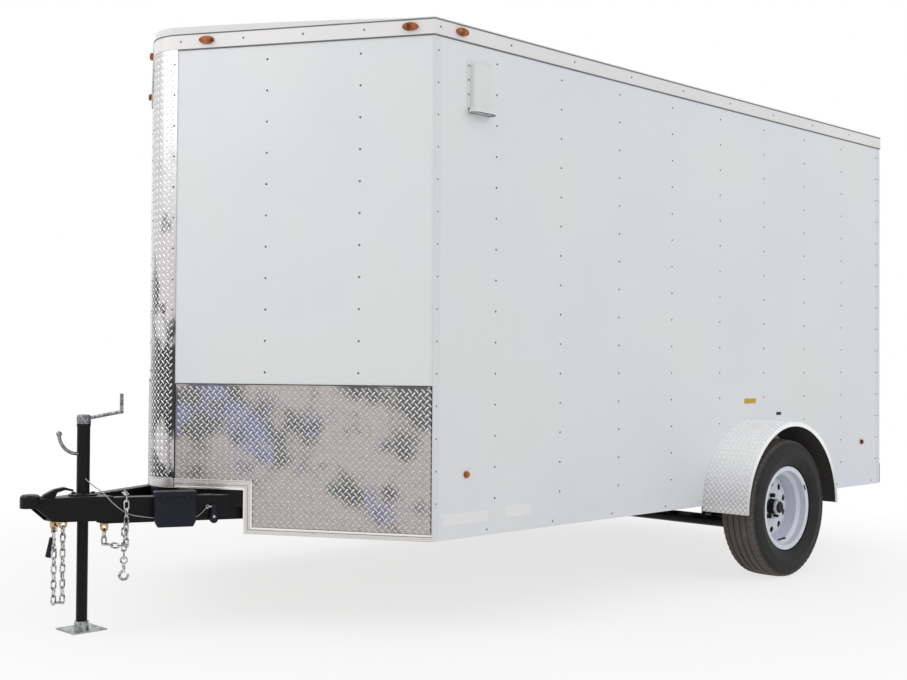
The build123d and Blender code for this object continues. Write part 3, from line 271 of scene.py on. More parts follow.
def tread_patches(made):
    """Painted reflections of mill-finish plate: where it would mirror the dark, in ovals on the guards, and
    where it would look bluish.
    """
    across, up = abs(made.axis("Y")), made.axis("Z") - GUARD_TOP
    deep = made.noise(4.6, 7, made.stretch(1, 1, 1.15)) + up.clip(-0.16, 0.0) * 0.05 - 0.07
    # Each oval of painted dark reflection: off the nose's middle, below the guards' top, half width, half
    # height, weight
    for middle, drop, wide, tall, weight in ((0.42, 0.20, 0.42, 0.34, 0.24), (0.15, 0.08, 0.22, 0.20, 0.20),
                                             (1.00, 0.10, 0.24, 0.28, 0.22), (0.74, 0.43, 0.13, 0.08, 0.22)):
        deep = deep + (1 - reach((across - middle) / wide, (up + drop) / tall).clip(0, 1)) * weight
    return deep.clip(0.47, 0.64), made.noise(5.1, 3, made.stretch(1, 1.3, 1)).clip(0.51, 0.68)


def tread_metal(name, dull, blue, painted_dark_colour, rough):
    """Mill-finish aluminium: dull warm fields, painted bluish reflections, painted patches that mirror the
    dark, rolling lines.
    """
    made = Finish(name, metallic=0.85)
    deep, bluish_reflection_mask = tread_patches(made)
    scuff = scuffs(made)
    field = (scuff * 0.3).mix(dull, toned(dull, 0.72))
    # Painted reflection in the base colour: dark patches, bluish in parts
    made.put("Base Color", deep.mix(field, bluish_reflection_mask.mix(painted_dark_colour, blue)))
    made.put("Roughness", scuff * 0.14 + (1 - deep) * 0.22 + rough)
    rolled(made)
    return made.material


def cap_metal(name, pale, painted_dark_colour, rough):
    """Tread plate rolled round the nose: a painted highlight paling it high up, painted patches mirroring the
    dark low down.
    """
    made = Finish(name, metallic=0.85)
    # Painted light: paler high up, dark reflection patches low down
    low, high = 1 - made.axis("Z").clip(0.75, 1.75), made.axis("Z").clip(1.3, 2.1)
    dark_reflection_patch = (made.noise(6.5, 5, made.stretch(1, 1, 0.55)) + low * 0.16).clip(0.54, 0.62)
    scuff = scuffs(made)
    field = high.mix((scuff * 0.3).mix(pale, (0.50, 0.49, 0.49, 1)), (0.64, 0.64, 0.64, 1))
    made.put("Base Color", (dark_reflection_patch * (1 - high)).mix(field, painted_dark_colour))
    made.put("Roughness", scuff * 0.12 + rough)
    rolled(made)
    return made.material


def fender_metal(name, dull, blue, painted_dark_colour, rough):
    """Tread plate bent over the wheel: bright outside with painted shade low down, dark inside."""
    made, half_sheet = Finish(name), 0.0015
    off_axle = reach(made.axis("X") - AXLE[0], made.axis("Z") - AXLE[2])
    under = (made.start.math("LESS_THAN", off_axle, FENDER_RADIUS - half_sheet)
             * made.start.math("LESS_THAN", abs(made.axis("Y")), FENDER_OUTER - half_sheet))
    scuff = scuffs(made)
    # Painted shade: the outside darker towards the bottom
    low = 1 - made.axis("Z").clip(0.36, 0.66)
    plate = (low * 0.8).mix((scuff * 0.3).mix(dull, blue), painted_dark_colour)
    # Colour of the dark inside
    dark_inside = made.noise(45, 4).mix((0.030, 0.027, 0.025, 1), (0.060, 0.054, 0.050, 1))
    made.put("Base Color", under.mix(plate, dark_inside))
    made.put("Metallic", (1 - under) * 0.45)
    made.put("Roughness", under * 0.4 + scuff * 0.1 + rough)
    made.bump(made.noise(300, 3), 0.0005, 0.3)
    return made.material


def drawn_trim(name, colour):
    """Extruded aluminium with lengthwise die lines."""
    made = Finish(name, metallic=0.85)
    lines = made.noise(260, 2, made.stretch(0.05, 0.05, 1))
    made.put("Base Color", made.noise(3, 3).mix(colour, toned(colour, 0.8)))
    made.put("Roughness", lines * 0.16 + 0.2)
    made.bump(lines, 0.0003, 0.4)
    return made.material


def painted_steel(name, colour, dust, rough=0.3):
    """Black chassis paint: orange peel, and dust on what faces up that also stands for a painted sheen there.
    """
    made = Finish(name, specular_ior_level=0.12)
    # Dust on what faces up, also a painted sheen on the tops
    dust_and_sheen = made.up().clip(0.2, 0.95) * made.noise(14, 5).clip(0.35, 0.75)
    chips = made.noise(55, 4).clip(0.66, 0.74)
    made.put("Base Color", (dust_and_sheen * dust + chips * 0.05).mix(colour, (0.30, 0.30, 0.31, 1)))
    made.put("Roughness", dust_and_sheen * 0.25 + made.noise(20, 2) * 0.1 + rough)
    made.bump(made.noise(320, 2), 0.0006, 0.25)
    return made.material


def plywood(name):
    """Floor board with its grain along the trailer."""
    made = Finish(name)
    grain = made.noise(22, 6, made.stretch(0.4, 9, 9))
    made.put("Base Color", grain.clip(0.3, 0.75).mix((0.36, 0.23, 0.12, 1), (0.56, 0.40, 0.24, 1)))
    made.put("Roughness", grain * 0.2 + 0.5)
    made.bump(grain, 0.0008, 0.4)
    return made.material


def rubber(name, colour, dusty):
    """Dull rubber with a little dust."""
    made = Finish(name, specular_ior_level=0.3)
    dust = made.noise(16, 5).clip(0.4, 0.8)
    made.put("Base Color", (dust * 0.7).mix(colour, dusty))
    made.put("Roughness", dust * 0.15 + 0.62)
    made.bump(made.noise(500, 3), 0.0005, 0.35)
    return made.material


def road_rubber(name, side, dusty, worn_and_lit):
    """Tyre rubber: dark sidewalls and a paler tread with road dust, its paleness partly wear and partly
    painted light where it lies in shade.
    """
    made = Finish(name, specular_ior_level=0.16)
    off_axle = reach(made.axis("X") - AXLE[0], made.axis("Z") - AXLE[2])
    tread = off_axle.clip(TYRE_RADIUS - 0.022, TYRE_RADIUS - 0.004)
    dust = made.noise(16, 5).clip(0.4, 0.8)
    film = dust * 0.6
    # The tread painted paler: wear, and painted light where it lies in shade
    made.put("Base Color", tread.mix(film.mix(side, dusty), film.mix(worn_and_lit, toned(worn_and_lit, 1.5))))
    made.put("Roughness", dust * 0.15 + 0.55)
    made.bump(made.noise(500, 3), 0.0005, 0.35)
    return made.material


def plated(name, colour, stain_and_reflection_colour):
    """Zinc plate: spangled, with duller stains that are partly painted dark reflections."""
    made = Finish(name, metallic=1.0)
    spangle = made.noise(150, 3)
    # Dark stains, partly real and partly painted dark reflections for contrast
    stain_and_reflection_mask = made.noise(85, 4).clip(0.44, 0.62)
    made.put("Base Color", (stain_and_reflection_mask * 0.9).mix(colour, stain_and_reflection_colour))
    made.put("Roughness", spangle * 0.15 + stain_and_reflection_mask * 0.2 + 0.22)
    made.bump(spangle, 0.0003, 0.3)
    return made.material


def lens(name, colour, deep):
    """Moulded lens: prisms under a clear face, darker towards its depth."""
    made = Finish(name, coat_weight=0.08, coat_roughness=0.06, roughness=0.22, specular_ior_level=0.15)
    prism = made.start.node("TexWave", links={"Vector": made.stretch(0.25, 0.25, 1), "Scale": 36.0,
                                              "Distortion": 0.0})
    made.put("Base Color", (prism * 0.55 + made.noise(70, 2).clip(0.4, 0.7) * 0.45).mix(colour, deep))
    made.bump(prism, 0.0008, 0.4)
    return made.material


def moulded(name, colour, worn_and_lit, rough=0.36):
    """Moulded plastic with a fine grain, slight fading, and what faces up lighter: a painted highlight with a
    little dust.
    """
    made = Finish(name, specular_ior_level=0.12)
    fade = made.noise(7, 4)
    # What faces up is lighter: a painted highlight with a little dust
    made.put("Base Color", (fade * 0.8 + made.up().clip(0.3, 1) * 0.3).mix(colour, worn_and_lit))
    made.put("Roughness", fade * 0.15 + rough)
    made.bump(made.noise(700, 2), 0.0003, 0.3)
    return made.material


# Each finish by name: maker and its arguments
FINISHES = {
    # A painted skin's second colour is its painted bluish reflection, and also its road film's colour
    "white_skin": (painted_skin, (0.785, 0.80, 0.795, 1), (0.735, 0.75, 0.86, 1)),
    "roof_skin": (painted_skin, (0.80, 0.81, 0.815, 1), (0.74, 0.75, 0.76, 1), 0.0, 0.12, 0.5),
    "band_trim": (painted_skin, (0.83, 0.82, 0.82, 1), (0.75, 0.74, 0.74, 1)),
    "corner_trim": (painted_skin, (0.75, 0.76, 0.765, 1), (0.70, 0.715, 0.75, 1)),
    # Lug finishes are the plate's metal painted lighter, a painted highlight on the lugs; each plate's last
    # colour is its painted dark reflection, on the fenders its painted shade low down
    "tread_plate": (tread_metal, (0.43, 0.397, 0.392, 1), (0.20, 0.20, 0.29, 1), (0.12, 0.12, 0.125, 1),
                    0.26),
    "tread_lug": (tread_metal, (0.50, 0.465, 0.46, 1), (0.55, 0.55, 0.63, 1), (0.56, 0.56, 0.54, 1), 0.20),
    "cap_plate": (cap_metal, (0.56, 0.54, 0.54, 1), (0.05, 0.05, 0.055, 1), 0.22),
    "cap_lug": (cap_metal, (0.70, 0.69, 0.69, 1), (0.66, 0.65, 0.65, 1), 0.14),
    "fender_plate": (fender_metal, (0.97, 0.97, 0.97, 1), (0.93, 0.93, 0.95, 1), (0.50, 0.49, 0.49, 1),
                     0.30),
    "fender_lug": (fender_metal, (0.97, 0.97, 0.97, 1), (0.95, 0.95, 0.95, 1), (0.88, 0.87, 0.87, 1), 0.24),
    "bright_trim": (drawn_trim, (0.70, 0.68, 0.67, 1)),
    # The trim's metal painted lighter, for the painted highlight on its beads
    "bead_trim": (drawn_trim, (0.93, 0.92, 0.88, 1)),
    "seam_grey": (moulded, (0.17, 0.17, 0.175, 1), (0.24, 0.24, 0.245, 1)),
    # Heavy dust on the chassis: real dust and a painted sheen on the tops of the rails
    "black_steel": (painted_steel, (0.008, 0.008, 0.009, 1), 0.75, 0.24),
    "hub_black": (painted_steel, (0.010, 0.010, 0.011, 1), 0.06),
    "white_wheel": (painted_skin, (0.72, 0.75, 0.82, 1), (0.60, 0.63, 0.71, 1)),
    "floor_wood": (plywood,),
    # Tyre tread painted paler: wear, and painted light where it lies in shade
    "tyre_rubber": (road_rubber, (0.020, 0.020, 0.020, 1), (0.046, 0.044, 0.043, 1),
                    (0.13, 0.115, 0.105, 1)),
    "seal_rubber": (rubber, (0.014, 0.014, 0.014, 1), (0.035, 0.035, 0.035, 1)),
    "cord_black": (rubber, (0.010, 0.010, 0.010, 1), (0.03, 0.03, 0.03, 1)),
    "zinc": (plated, (0.56, 0.56, 0.55, 1), (0.10, 0.10, 0.10, 1)),
    "yellow_zinc": (plated, (0.55, 0.40, 0.18, 1), (0.22, 0.15, 0.07, 1)),
    "bright_zinc": (plated, (0.62, 0.63, 0.64, 1), (0.40, 0.41, 0.42, 1)),
    "jack_zinc": (plated, (0.27, 0.28, 0.29, 1), (0.11, 0.11, 0.12, 1)),
    "foot_zinc": (plated, (0.42, 0.44, 0.44, 1), (0.24, 0.25, 0.25, 1)),
    # Screw heads painted dark grey: painted shade round them
    "screw_zinc": (plated, (0.16, 0.16, 0.16, 1), (0.07, 0.07, 0.07, 1)),
    "amber_lens": (lens, (0.52, 0.155, 0.042, 1), (0.085, 0.017, 0.006, 1)),
    "red_lens": (lens, (0.24, 0.012, 0.010, 1), (0.05, 0.004, 0.004, 1)),
    "white_plastic": (moulded, (0.82, 0.83, 0.83, 1), (0.76, 0.77, 0.77, 1)),
    "black_plastic": (moulded, (0.010, 0.011, 0.018, 1), (0.024, 0.026, 0.038, 1), 0.28),
    "cable_grey": (moulded, (0.46, 0.45, 0.42, 1), (0.34, 0.33, 0.31, 1)),
    "blank_white": (moulded, (0.88, 0.88, 0.87, 1), (0.83, 0.83, 0.82, 1)),
    "blank_yellow": (moulded, (0.62, 0.42, 0.04, 1), (0.50, 0.34, 0.05, 1)),
}
MADE = {}


def finish(name):
    """The material of that name, made when first asked for."""
    if name not in MADE:
        maker, *values = FINISHES[name]
        MADE[name] = maker(name + "_finish", *values)
    return MADE[name]


# Meshes

class Face:
    """A flat face of the trailer with its own axes: along, up and out."""

    def __init__(self, origin, along, out):
        along, out = Vector(along), Vector(out)
        self.matrix = Matrix.Translation(origin) @ Matrix((along, (0, 0, 1), out)).transposed().to_4x4()

    def place(self, along, up, out=0.0, turn=0.0, scale=(1, 1, 1)):
        """Where a small shape goes: its X along, its Y up and its Z out of the face."""
        return (self.matrix @ Matrix.Translation((along, up, out)) @ Matrix.Rotation(turn, 4, "Z")
                @ Matrix.Diagonal((*scale, 1)))


SIDE = Face((CORNER_X, HALF_WIDTH, 0), (-1, 0, 0), (0, 1, 0))
NOSE = Face((CORNER_X, HALF_WIDTH, 0), (sin(LEAN), -cos(LEAN), 0), (cos(LEAN), sin(LEAN), 0))
RAIL = Face((RAIL_EXIT_X, (APEX_X - RAIL_EXIT_X) * tan(FORK), 0), (cos(FORK), -sin(FORK), 0),
            (sin(FORK), cos(FORK), 0))


def cap_place(arc, z, out, turn, scale):
    """A place on the round nose cap, an arc length off the centre line."""
    ahead, left = cos(arc / CAP_ROUND), sin(arc / CAP_ROUND)
    face = Face((CAP_X + CAP_ROUND * ahead, CAP_ROUND * left, 0), (-left, ahead, 0), (ahead, left, 0))
    return face.place(0, z, out, turn, scale)


def fender_place(angle, y, out, turn, scale):
    """A place on the left fender's round top, at an angle from straight ahead."""
    outward = Vector((cos(angle), 0, sin(angle)))
    across = Vector((0, 1, 0))
    base = Matrix((across, outward.cross(across), outward)).transposed().to_4x4()
    spot = Vector((AXLE[0], y, AXLE[2])) + outward * (FENDER_RADIUS + out)
    return Matrix.Translation(spot) @ base @ Matrix.Rotation(turn, 4, "Z") @ Matrix.Diagonal((*scale, 1))


def wheels():
    """Each wheel's side, middle and outward axis."""
    for name, side in (("left", 1), ("right", -1)):
        yield name, Vector((AXLE[0], side * AXLE[1], AXLE[2])), Vector((0, side, 0))


def paces(first, pitch, count):
    """Evenly spaced values."""
    return [first + pitch * step for step in range(count)]


def long_round(straight, bend, steps=9):
    """A flat loop of two half rounds and the straight runs between them, as points from its middle."""
    turns = paces(-pi / 2, pi / (steps - 1), steps)
    half = [(straight + bend * cos(turn), bend * sin(turn)) for turn in turns]
    return half + [(-along, -across) for along, across in half]


def laid(loop, middle, axes):
    """A flat loop laid on the two longer axes of a solid."""
    return [middle + axes[0] * along + axes[1] * across for along, across in loop]


def seed(bm):
    """A small shape as its points and faces, for stamping."""
    bm.verts.index_update()
    shape = [vert.co.copy() for vert in bm.verts], [[vert.index for vert in face.verts] for face in bm.faces]
    bm.free()
    return shape


def dome(sides, top):
    """A low flat-topped dome of unit radius and height."""
    bm = bmesh.new()
    bmesh.ops.create_cone(bm, cap_ends=True, segments=sides, radius1=1, radius2=top, depth=1,
                          matrix=Matrix.Translation((0, 0, 0.5)))
    return seed(bm)


def brick(bevel):
    """A unit block on its base, with bevelled edges."""
    bm = bmesh.new()
    bmesh.ops.create_cube(bm, size=1, matrix=Matrix.Translation((0, 0, 0.5)))
    bmesh.ops.bevel(bm, geom=bm.edges[:], offset=bevel, segments=2, profile=0.5, affect="EDGES", material=-1)
    return seed(bm)


def button():
    """A short upright round of unit radius and height with a domed top."""
    bm = bmesh.new()
    bmesh.ops.create_cone(bm, cap_ends=True, segments=36, radius1=1, radius2=1, depth=1,
                          matrix=Matrix.Translation((0, 0, 0.5)))
    rim = [edge for edge in bm.edges if all(vert.co.z > 0.9 for vert in edge.verts)]
    bmesh.ops.bevel(bm, geom=rim, offset=0.55, segments=5, profile=0.5, affect="EDGES", material=-1)
    return seed(bm)


def stamp(bm, shape, places):
    """Adds a copy of a small shape at each place."""
    points, faces = shape
    for place in places:
        verts = [bm.verts.new(place @ point) for point in points]
        for face in faces:
            bm.faces.new([verts[index] for index in face])


def studded(bm, shape, face, spots, out, size):
    """Adds a copy of a small shape at each (along, up) spot of a face."""
    stamp(bm, shape, [face.place(along, up, out, 0, size) for along, up in spots])


def spun(bm, profile, centre, axis, steps):
    """A profile of (along, radius) points spun all the way round an axis."""
    axis, centre = Vector(axis), Vector(centre)
    side = axis.orthogonal().normalized()
    verts = [bm.verts.new(centre + axis * along + side * radius) for along, radius in profile]
    edges = [bm.edges.new(pair) for pair in zip(verts, verts[1:])]
    bmesh.ops.spin(bm, geom=verts + edges, cent=centre, axis=axis, angle=2 * pi, steps=steps, use_merge=True)


def tube(bm, points, radius, sides=8, closed=False):
    """A round bar along points, with capped ends unless closed."""
    points = [Vector(point) for point in points]
    count, rings, turn = len(points), [], None
    for index, point in enumerate(points):
        before = points[index - 1] if closed or index else point
        after = points[(index + 1) % count] if closed or index < count - 1 else point
        along = (after - before).normalized()
        turn = (along.orthogonal() if turn is None else turn - along * turn.dot(along)).normalized()
        other = along.cross(turn)
        rings.append([bm.verts.new(point + (turn * cos(a) + other * sin(a)) * radius)
                      for a in (2 * pi * step / sides for step in range(sides))])
    for one, two in zip(rings, rings[1:] + ([rings[0]] if closed else [])):
        for step in range(sides):
            bm.faces.new((one[step], one[(step + 1) % sides], two[(step + 1) % sides], two[step]))
    if not closed:
        bm.faces.new(rings[0])
        bm.faces.new(rings[-1])


def plan(proud, steps=12):
    """The body's outline seen from above, from its left rear edge round the nose to its right rear edge."""
    corner = (CORNER_X + proud * (1 - sin(LEAN)) / cos(LEAN), HALF_WIDTH + proud)
    radius = NOSE_RADIUS + proud
    turns = [LEAN - 2 * LEAN * step / steps for step in range(steps + 1)]
    left = [(REAR_X, HALF_WIDTH + proud), corner]
    nose = [(CAP_X + radius * cos(turn), radius * sin(turn)) for turn in turns]
    return left + nose + [(x, -y) for x, y in reversed(left)]


def ribbon(bm, inner, outer, low, high):
    """A strip between two outlines of equal count, from one height to another."""
    rows = [[bm.verts.new((x, y, z)) for x, y in line]
            for line, z in ((inner, low), (outer, low), (outer, high), (inner, high))]
    for one, two in zip(rows, rows[1:] + rows[:1]):
        for step in range(len(one) - 1):
            bm.faces.new((one[step], one[step + 1], two[step + 1], two[step]))
    for end in (0, -1):
        bm.faces.new([row[end] for row in rows])


def bars(bm, face, table):
    """Bevelled bars on a face, each from its ends along and up and its ends outward."""
    shape = brick(0.08)
    for along0, along1, up0, up1, out0, out1 in table:
        size = (along1 - along0, up1 - up0, out1 - out0)
        stamp(bm, shape, [face.place((along0 + along1) / 2, (up0 + up1) / 2, out0, 0, size)])


def mirrored(bm):
    """Adds the right-hand copy of everything so far."""
    copied = bmesh.ops.duplicate(bm, geom=bm.verts[:] + bm.edges[:] + bm.faces[:])["geom"]
    verts = [item for item in copied if isinstance(item, bmesh.types.BMVert)]
    bmesh.ops.transform(bm, matrix=MIRROR, verts=verts)


def piece(name, bm, material, body="trailer", crease=32.0, replaces=()):
    """Turns a mesh under construction into a finished piece that rides on a body."""
    bmesh.ops.recalc_face_normals(bm, faces=bm.faces[:])
    mesh = bpy.data.meshes.new(name)
    bm.to_mesh(mesh)
    bm.free()
    mesh.shade_smooth()
    mesh.set_sharp_from_angle(angle=radians(crease))
    mesh.materials.append(finish(material))
    made = bpy.data.objects.new(name, mesh)
    bpy.context.collection.objects.link(made)
    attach(made, body)
    if replaces:
        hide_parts(*replaces)


def islands(node):
    """The solids of a CAD node, each as (middle, axes, size) with its axes from longest to shortest."""
    bm = bmesh.new()
    bm.from_mesh(frame["nodes"][node].data)
    bmesh.ops.remove_doubles(bm, verts=bm.verts[:], dist=1e-5)
    left, found = dict.fromkeys(bm.verts), []
    while left:
        stack, group = [left.popitem()[0]], []
        while stack:
            vert = stack.pop()
            group.append(vert.co[:])
            for edge in vert.link_edges:
                other = edge.other_vert(vert)
                if other in left:
                    del left[other]
                    stack.append(other)
        points = np.array(group)
        axes = np.linalg.eigh(np.cov((points - points.mean(0)).T))[1].T[::-1]
        spread = points @ axes.T
        low, high = spread.min(0), spread.max(0)
        found.append((Vector((low + high) / 2 @ axes), [Vector(axis) for axis in axes], high - low))
    bm.free()
    return found


# Operators

class TRAILER_OT_stage(bpy.types.Operator):
    """Sets the camera, the soft studio light, the white surroundings and the pale floor"""
    bl_idname = "trailer.stage"
    bl_label = "Stage"

    def execute(self, context):
        settings = context.scene.trailer_stage
        context.scene.view_settings.view_transform = "Standard"
        self.camera(context, settings)
        self.surroundings(context, settings)
        self.floor(context, settings)
        self.lamps(context, settings)
        return {"FINISHED"}

    def camera(self, context, settings):
        made = bpy.data.objects.new("camera", bpy.data.cameras.new("camera"))
        made.data.lens = settings.lens
        yaw, pitch, roll = settings.turn
        made.matrix_world = (Matrix.Translation(settings.eye) @ Matrix.Rotation(yaw - pi / 2, 4, "Z")
                             @ Matrix.Rotation(pi / 2 + pitch, 4, "X") @ Matrix.Rotation(roll, 4, "Z"))
        context.collection.objects.link(made)
        context.scene.camera = made

    def lamps(self, context, settings):
        """Three large soft lamps, turned to the middle of the trailer."""
        middle = Vector((0, 0, 1.2))
        for name, power, size, spot, colour in (
                ("key", settings.key, 7.0, (6.5, -1.5, 6.0), (1.0, 0.99, 0.97)),
                ("fill", settings.fill, 8.0, (-1.0, 8.0, 5.5), (0.96, 0.98, 1.0)),
                ("back", settings.fill * 0.7, 8.0, (-7.0, -5.0, 6.0), (1.0, 1.0, 1.0))):
            lamp = bpy.data.lights.new(name, "AREA")
            lamp.energy, lamp.size, lamp.color = power, size, colour
            made = bpy.data.objects.new(name, lamp)
            made.location = spot
            made.rotation_euler = (middle - Vector(spot)).to_track_quat("-Z", "Y").to_euler()
            context.collection.objects.link(made)

    def seen(self, start):
        """1 for what the camera, a reflection or glass sees, else 0."""
        path = start.node("LightPath", "Is Camera Ray") + start.node("LightPath", "Is Glossy Ray")
        return start.math("MINIMUM", path + start.node("LightPath", "Is Transmission Ray"), 1.0)

    def surroundings(self, context, settings):
        """Even light all round, which shows as plain white."""
        world = bpy.data.worlds.new("studio")
        context.scene.world = world
        world.use_nodes = True
        world.node_tree.nodes.clear()
        start = Wire(world.node_tree)
        strength = self.seen(start) * (1 - settings.ambient) + settings.ambient
        light = start.node("Background", links={"Color": WHITE, "Strength": strength})
        end = world.node_tree.nodes.new("ShaderNodeOutputWorld")
        start.feed(end.inputs["Surface"], light)

    def floor(self, context, settings):
        """A pale disc that keeps a faint shadow near the trailer and shows as white further out."""
        bm = bmesh.new()
        bmesh.ops.create_circle(bm, cap_ends=True, segments=96, radius=settings.floor_radius)
        mesh = bpy.data.meshes.new("floor_plane")
        bm.to_mesh(mesh)
        bm.free()
        made = bpy.data.objects.new("floor_plane", mesh)
        context.collection.objects.link(made)
        surface = bpy.data.materials.new("pale_floor")
        surface.use_nodes = True
        tree = surface.node_tree
        start = Wire(tree)
        place = start.node("TexCoord", "Object")
        out = start.node("VectorMath", "Value", operation="LENGTH", links={0: place})
        speckle = start.node("TexNoise", links={"Scale": 3.0, "Detail": 3.0})
        pale = speckle.mix((0.86, 0.86, 0.86, 1), (0.88, 0.88, 0.88, 1))
        near = start.node("BsdfDiffuse", links={"Color": pale})
        far = start.node("Emission", links={"Color": WHITE, "Strength": 1.0})
        white = self.seen(start) * (out.clip(1.6, 4.2) * 0.25 + 0.75)
        ground = start.node("MixShader", links={0: white, 1: near, 2: far})
        start.feed(tree.nodes["Material Output"].inputs["Surface"], ground)
        mesh.materials.append(surface)


class TRAILER_OT_cords(bpy.types.Operator):
    """Makes the lamp cord with its plug and the breakaway cable along their routes"""
    bl_idname = "trailer.cords"
    bl_label = "Cords"

    def execute(self, context):
        plug_route = [(TIP_X - 0.150, -0.014, 0.441), (TIP_X - 0.150, -0.014, 0.417),
                      (TIP_X - 0.147, -0.0155, 0.394), (TIP_X - 0.143, -0.018, 0.372)]
        lead = self.line("lamp_lead", plug_route, 0.0045, "cord_black", "plug_cord")
        # Ahead of the rail's exit, out from its face, height
        beside = [(0.072, 0.015, 0.479), (0.080, 0.014, 0.473), (0.091, 0.011, 0.459), (0.104, 0.008, 0.445),
                  (0.125, 0.007, 0.434), (0.161, 0.007, 0.428), (0.209, 0.007, 0.430),
                  (0.261, 0.0065, 0.440), (0.309, 0.006, 0.447), (0.351, 0.0055, 0.456),
                  (0.387, 0.0065, 0.482), (0.417, 0.010, 0.514), (0.441, 0.008, 0.546)]
        route = [(RAIL_EXIT_X + ahead + out * sin(FORK),
                  (APEX_X - RAIL_EXIT_X - ahead) * tan(FORK) + out * cos(FORK), z)
                 for ahead, out, z in beside]
        route += [(JACK_X - 0.013, 0.040, 0.575), (JACK_X + 0.006, 0.0278, 0.600)]
        cable = self.line("wire_rope", route, 0.002, "cable_grey", "breakaway_cable")
        return {"FINISHED"}

    def line(self, name, route, radius, slot, node):
        """A smooth round cord with the route's points as its control points."""
        curve = bpy.data.curves.new(name, "CURVE")
        curve.dimensions, curve.use_fill_caps = "3D", True
        curve.bevel_depth, curve.bevel_resolution, curve.resolution_u = radius, 4, 10
        spline = curve.splines.new("NURBS")
        spline.points.add(len(route) - 1)
        for point, spot in zip(spline.points, route):
            point.co = (*spot, 1)
        spline.order_u, spline.use_endpoint_u = 3, True
        curve.materials.append(finish(slot))
        made = bpy.data.objects.new(name, curve)
        bpy.context.collection.objects.link(made)
        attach(made, "trailer")
        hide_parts(node)
        return made


class TRAILER_OT_finishes(bpy.types.Operator):
    """Gives every CAD piece its procedural finish and soft edges"""
    bl_idname = "trailer.finishes"
    bl_label = "Finishes"
    # Edge rounding of the pieces that show their edges, in metres
    rounds = {"tongue_rail_left": 0.004, "tongue_rail_right": 0.004, "main_rail_left": 0.003,
              "main_rail_right": 0.003, "coupler": 0.0015, "coupler_latch": 0.002, "battery_box": 0.003,
              "breakaway_switch": 0.004, "ramp_hardware": 0.0015, "side_door_hardware": 0.002,
              "door_hinges": 0.0008, "chain_hooks": 0.0022, "chain_lugs": 0.0015, "jack_foot": 0.0012,
              "rear_sill": 0.003, "ramp_panel": 0.003, "side_door_panel": 0.003, "side_door_frame": 0.0025,
              "bottom_trim": 0.0008, "spring_hangers": 0.001, "rear_frame": 0.002}
    # Pieces whose finish differs from their slot's
    special = {"roof_band": "band_trim", "chain_lugs": "yellow_zinc", "nose_cap": "cap_plate",
               "fender_left": "fender_plate", "fender_right": "fender_plate", "jack_crank": "jack_zinc",
               "jack_hook": "jack_zinc", "jack_foot": "foot_zinc", "ramp_hardware": "bright_zinc",
               "door_hinges": "bright_zinc", "side_door_hardware": "bright_zinc"}

    def execute(self, context):
        group = self.edge_group()
        for part in frame["record"]["subparts"]:
            name = part["node"]
            made = frame["nodes"][name]
            surface = finish(self.special.get(name, part["material_slot"]))
            if not made.material_slots:
                made.data.materials.append(surface)
            for held in made.material_slots:
                held.material = surface
            made.modifiers.new("soft", "NODES").node_group = group
            if name in self.rounds:
                flat = made.modifiers.new("flat", "DECIMATE")
                flat.decimate_type, flat.angle_limit = "DISSOLVE", radians(0.5)
                edge = made.modifiers.new("edge", "BEVEL")
                edge.width, edge.segments, edge.harden_normals = self.rounds[name], 2, True
                edge.limit_method, edge.angle_limit = "ANGLE", radians(40)
        return {"FINISHED"}

    def edge_group(self):
        """Welds the CAD facets and shades them smooth, apart from true edges."""
        group = bpy.data.node_groups.new("soft_edges", "GeometryNodeTree")
        for way in ("INPUT", "OUTPUT"):
            group.interface.new_socket("Geometry", in_out=way, socket_type="NodeSocketGeometry")
        chain = [group.nodes.new(kind) for kind in (
            "NodeGroupInput", "GeometryNodeMergeByDistance", "GeometryNodeSetShadeSmooth",
            "GeometryNodeSetShadeSmooth", "NodeGroupOutput")]
        for one, two in zip(chain, chain[1:]):
            group.links.new(one.outputs[0], two.inputs[0])
        _, weld, _, crease, _ = chain
        weld.inputs["Distance"].default_value = 2e-5
        crease.domain = "EDGE"
        crease.inputs["Shade Smooth"].default_value = False
        angle = group.nodes.new("GeometryNodeInputMeshEdgeAngle")
        sharp = group.nodes.new("FunctionNodeCompare")
        sharp.operation = "GREATER_THAN"
        group.links.new(angle.outputs["Unsigned Angle"], sharp.inputs[0])
        sharp.inputs[1].default_value = radians(30)
        group.links.new(sharp.outputs[0], crease.inputs["Selection"])
        return group


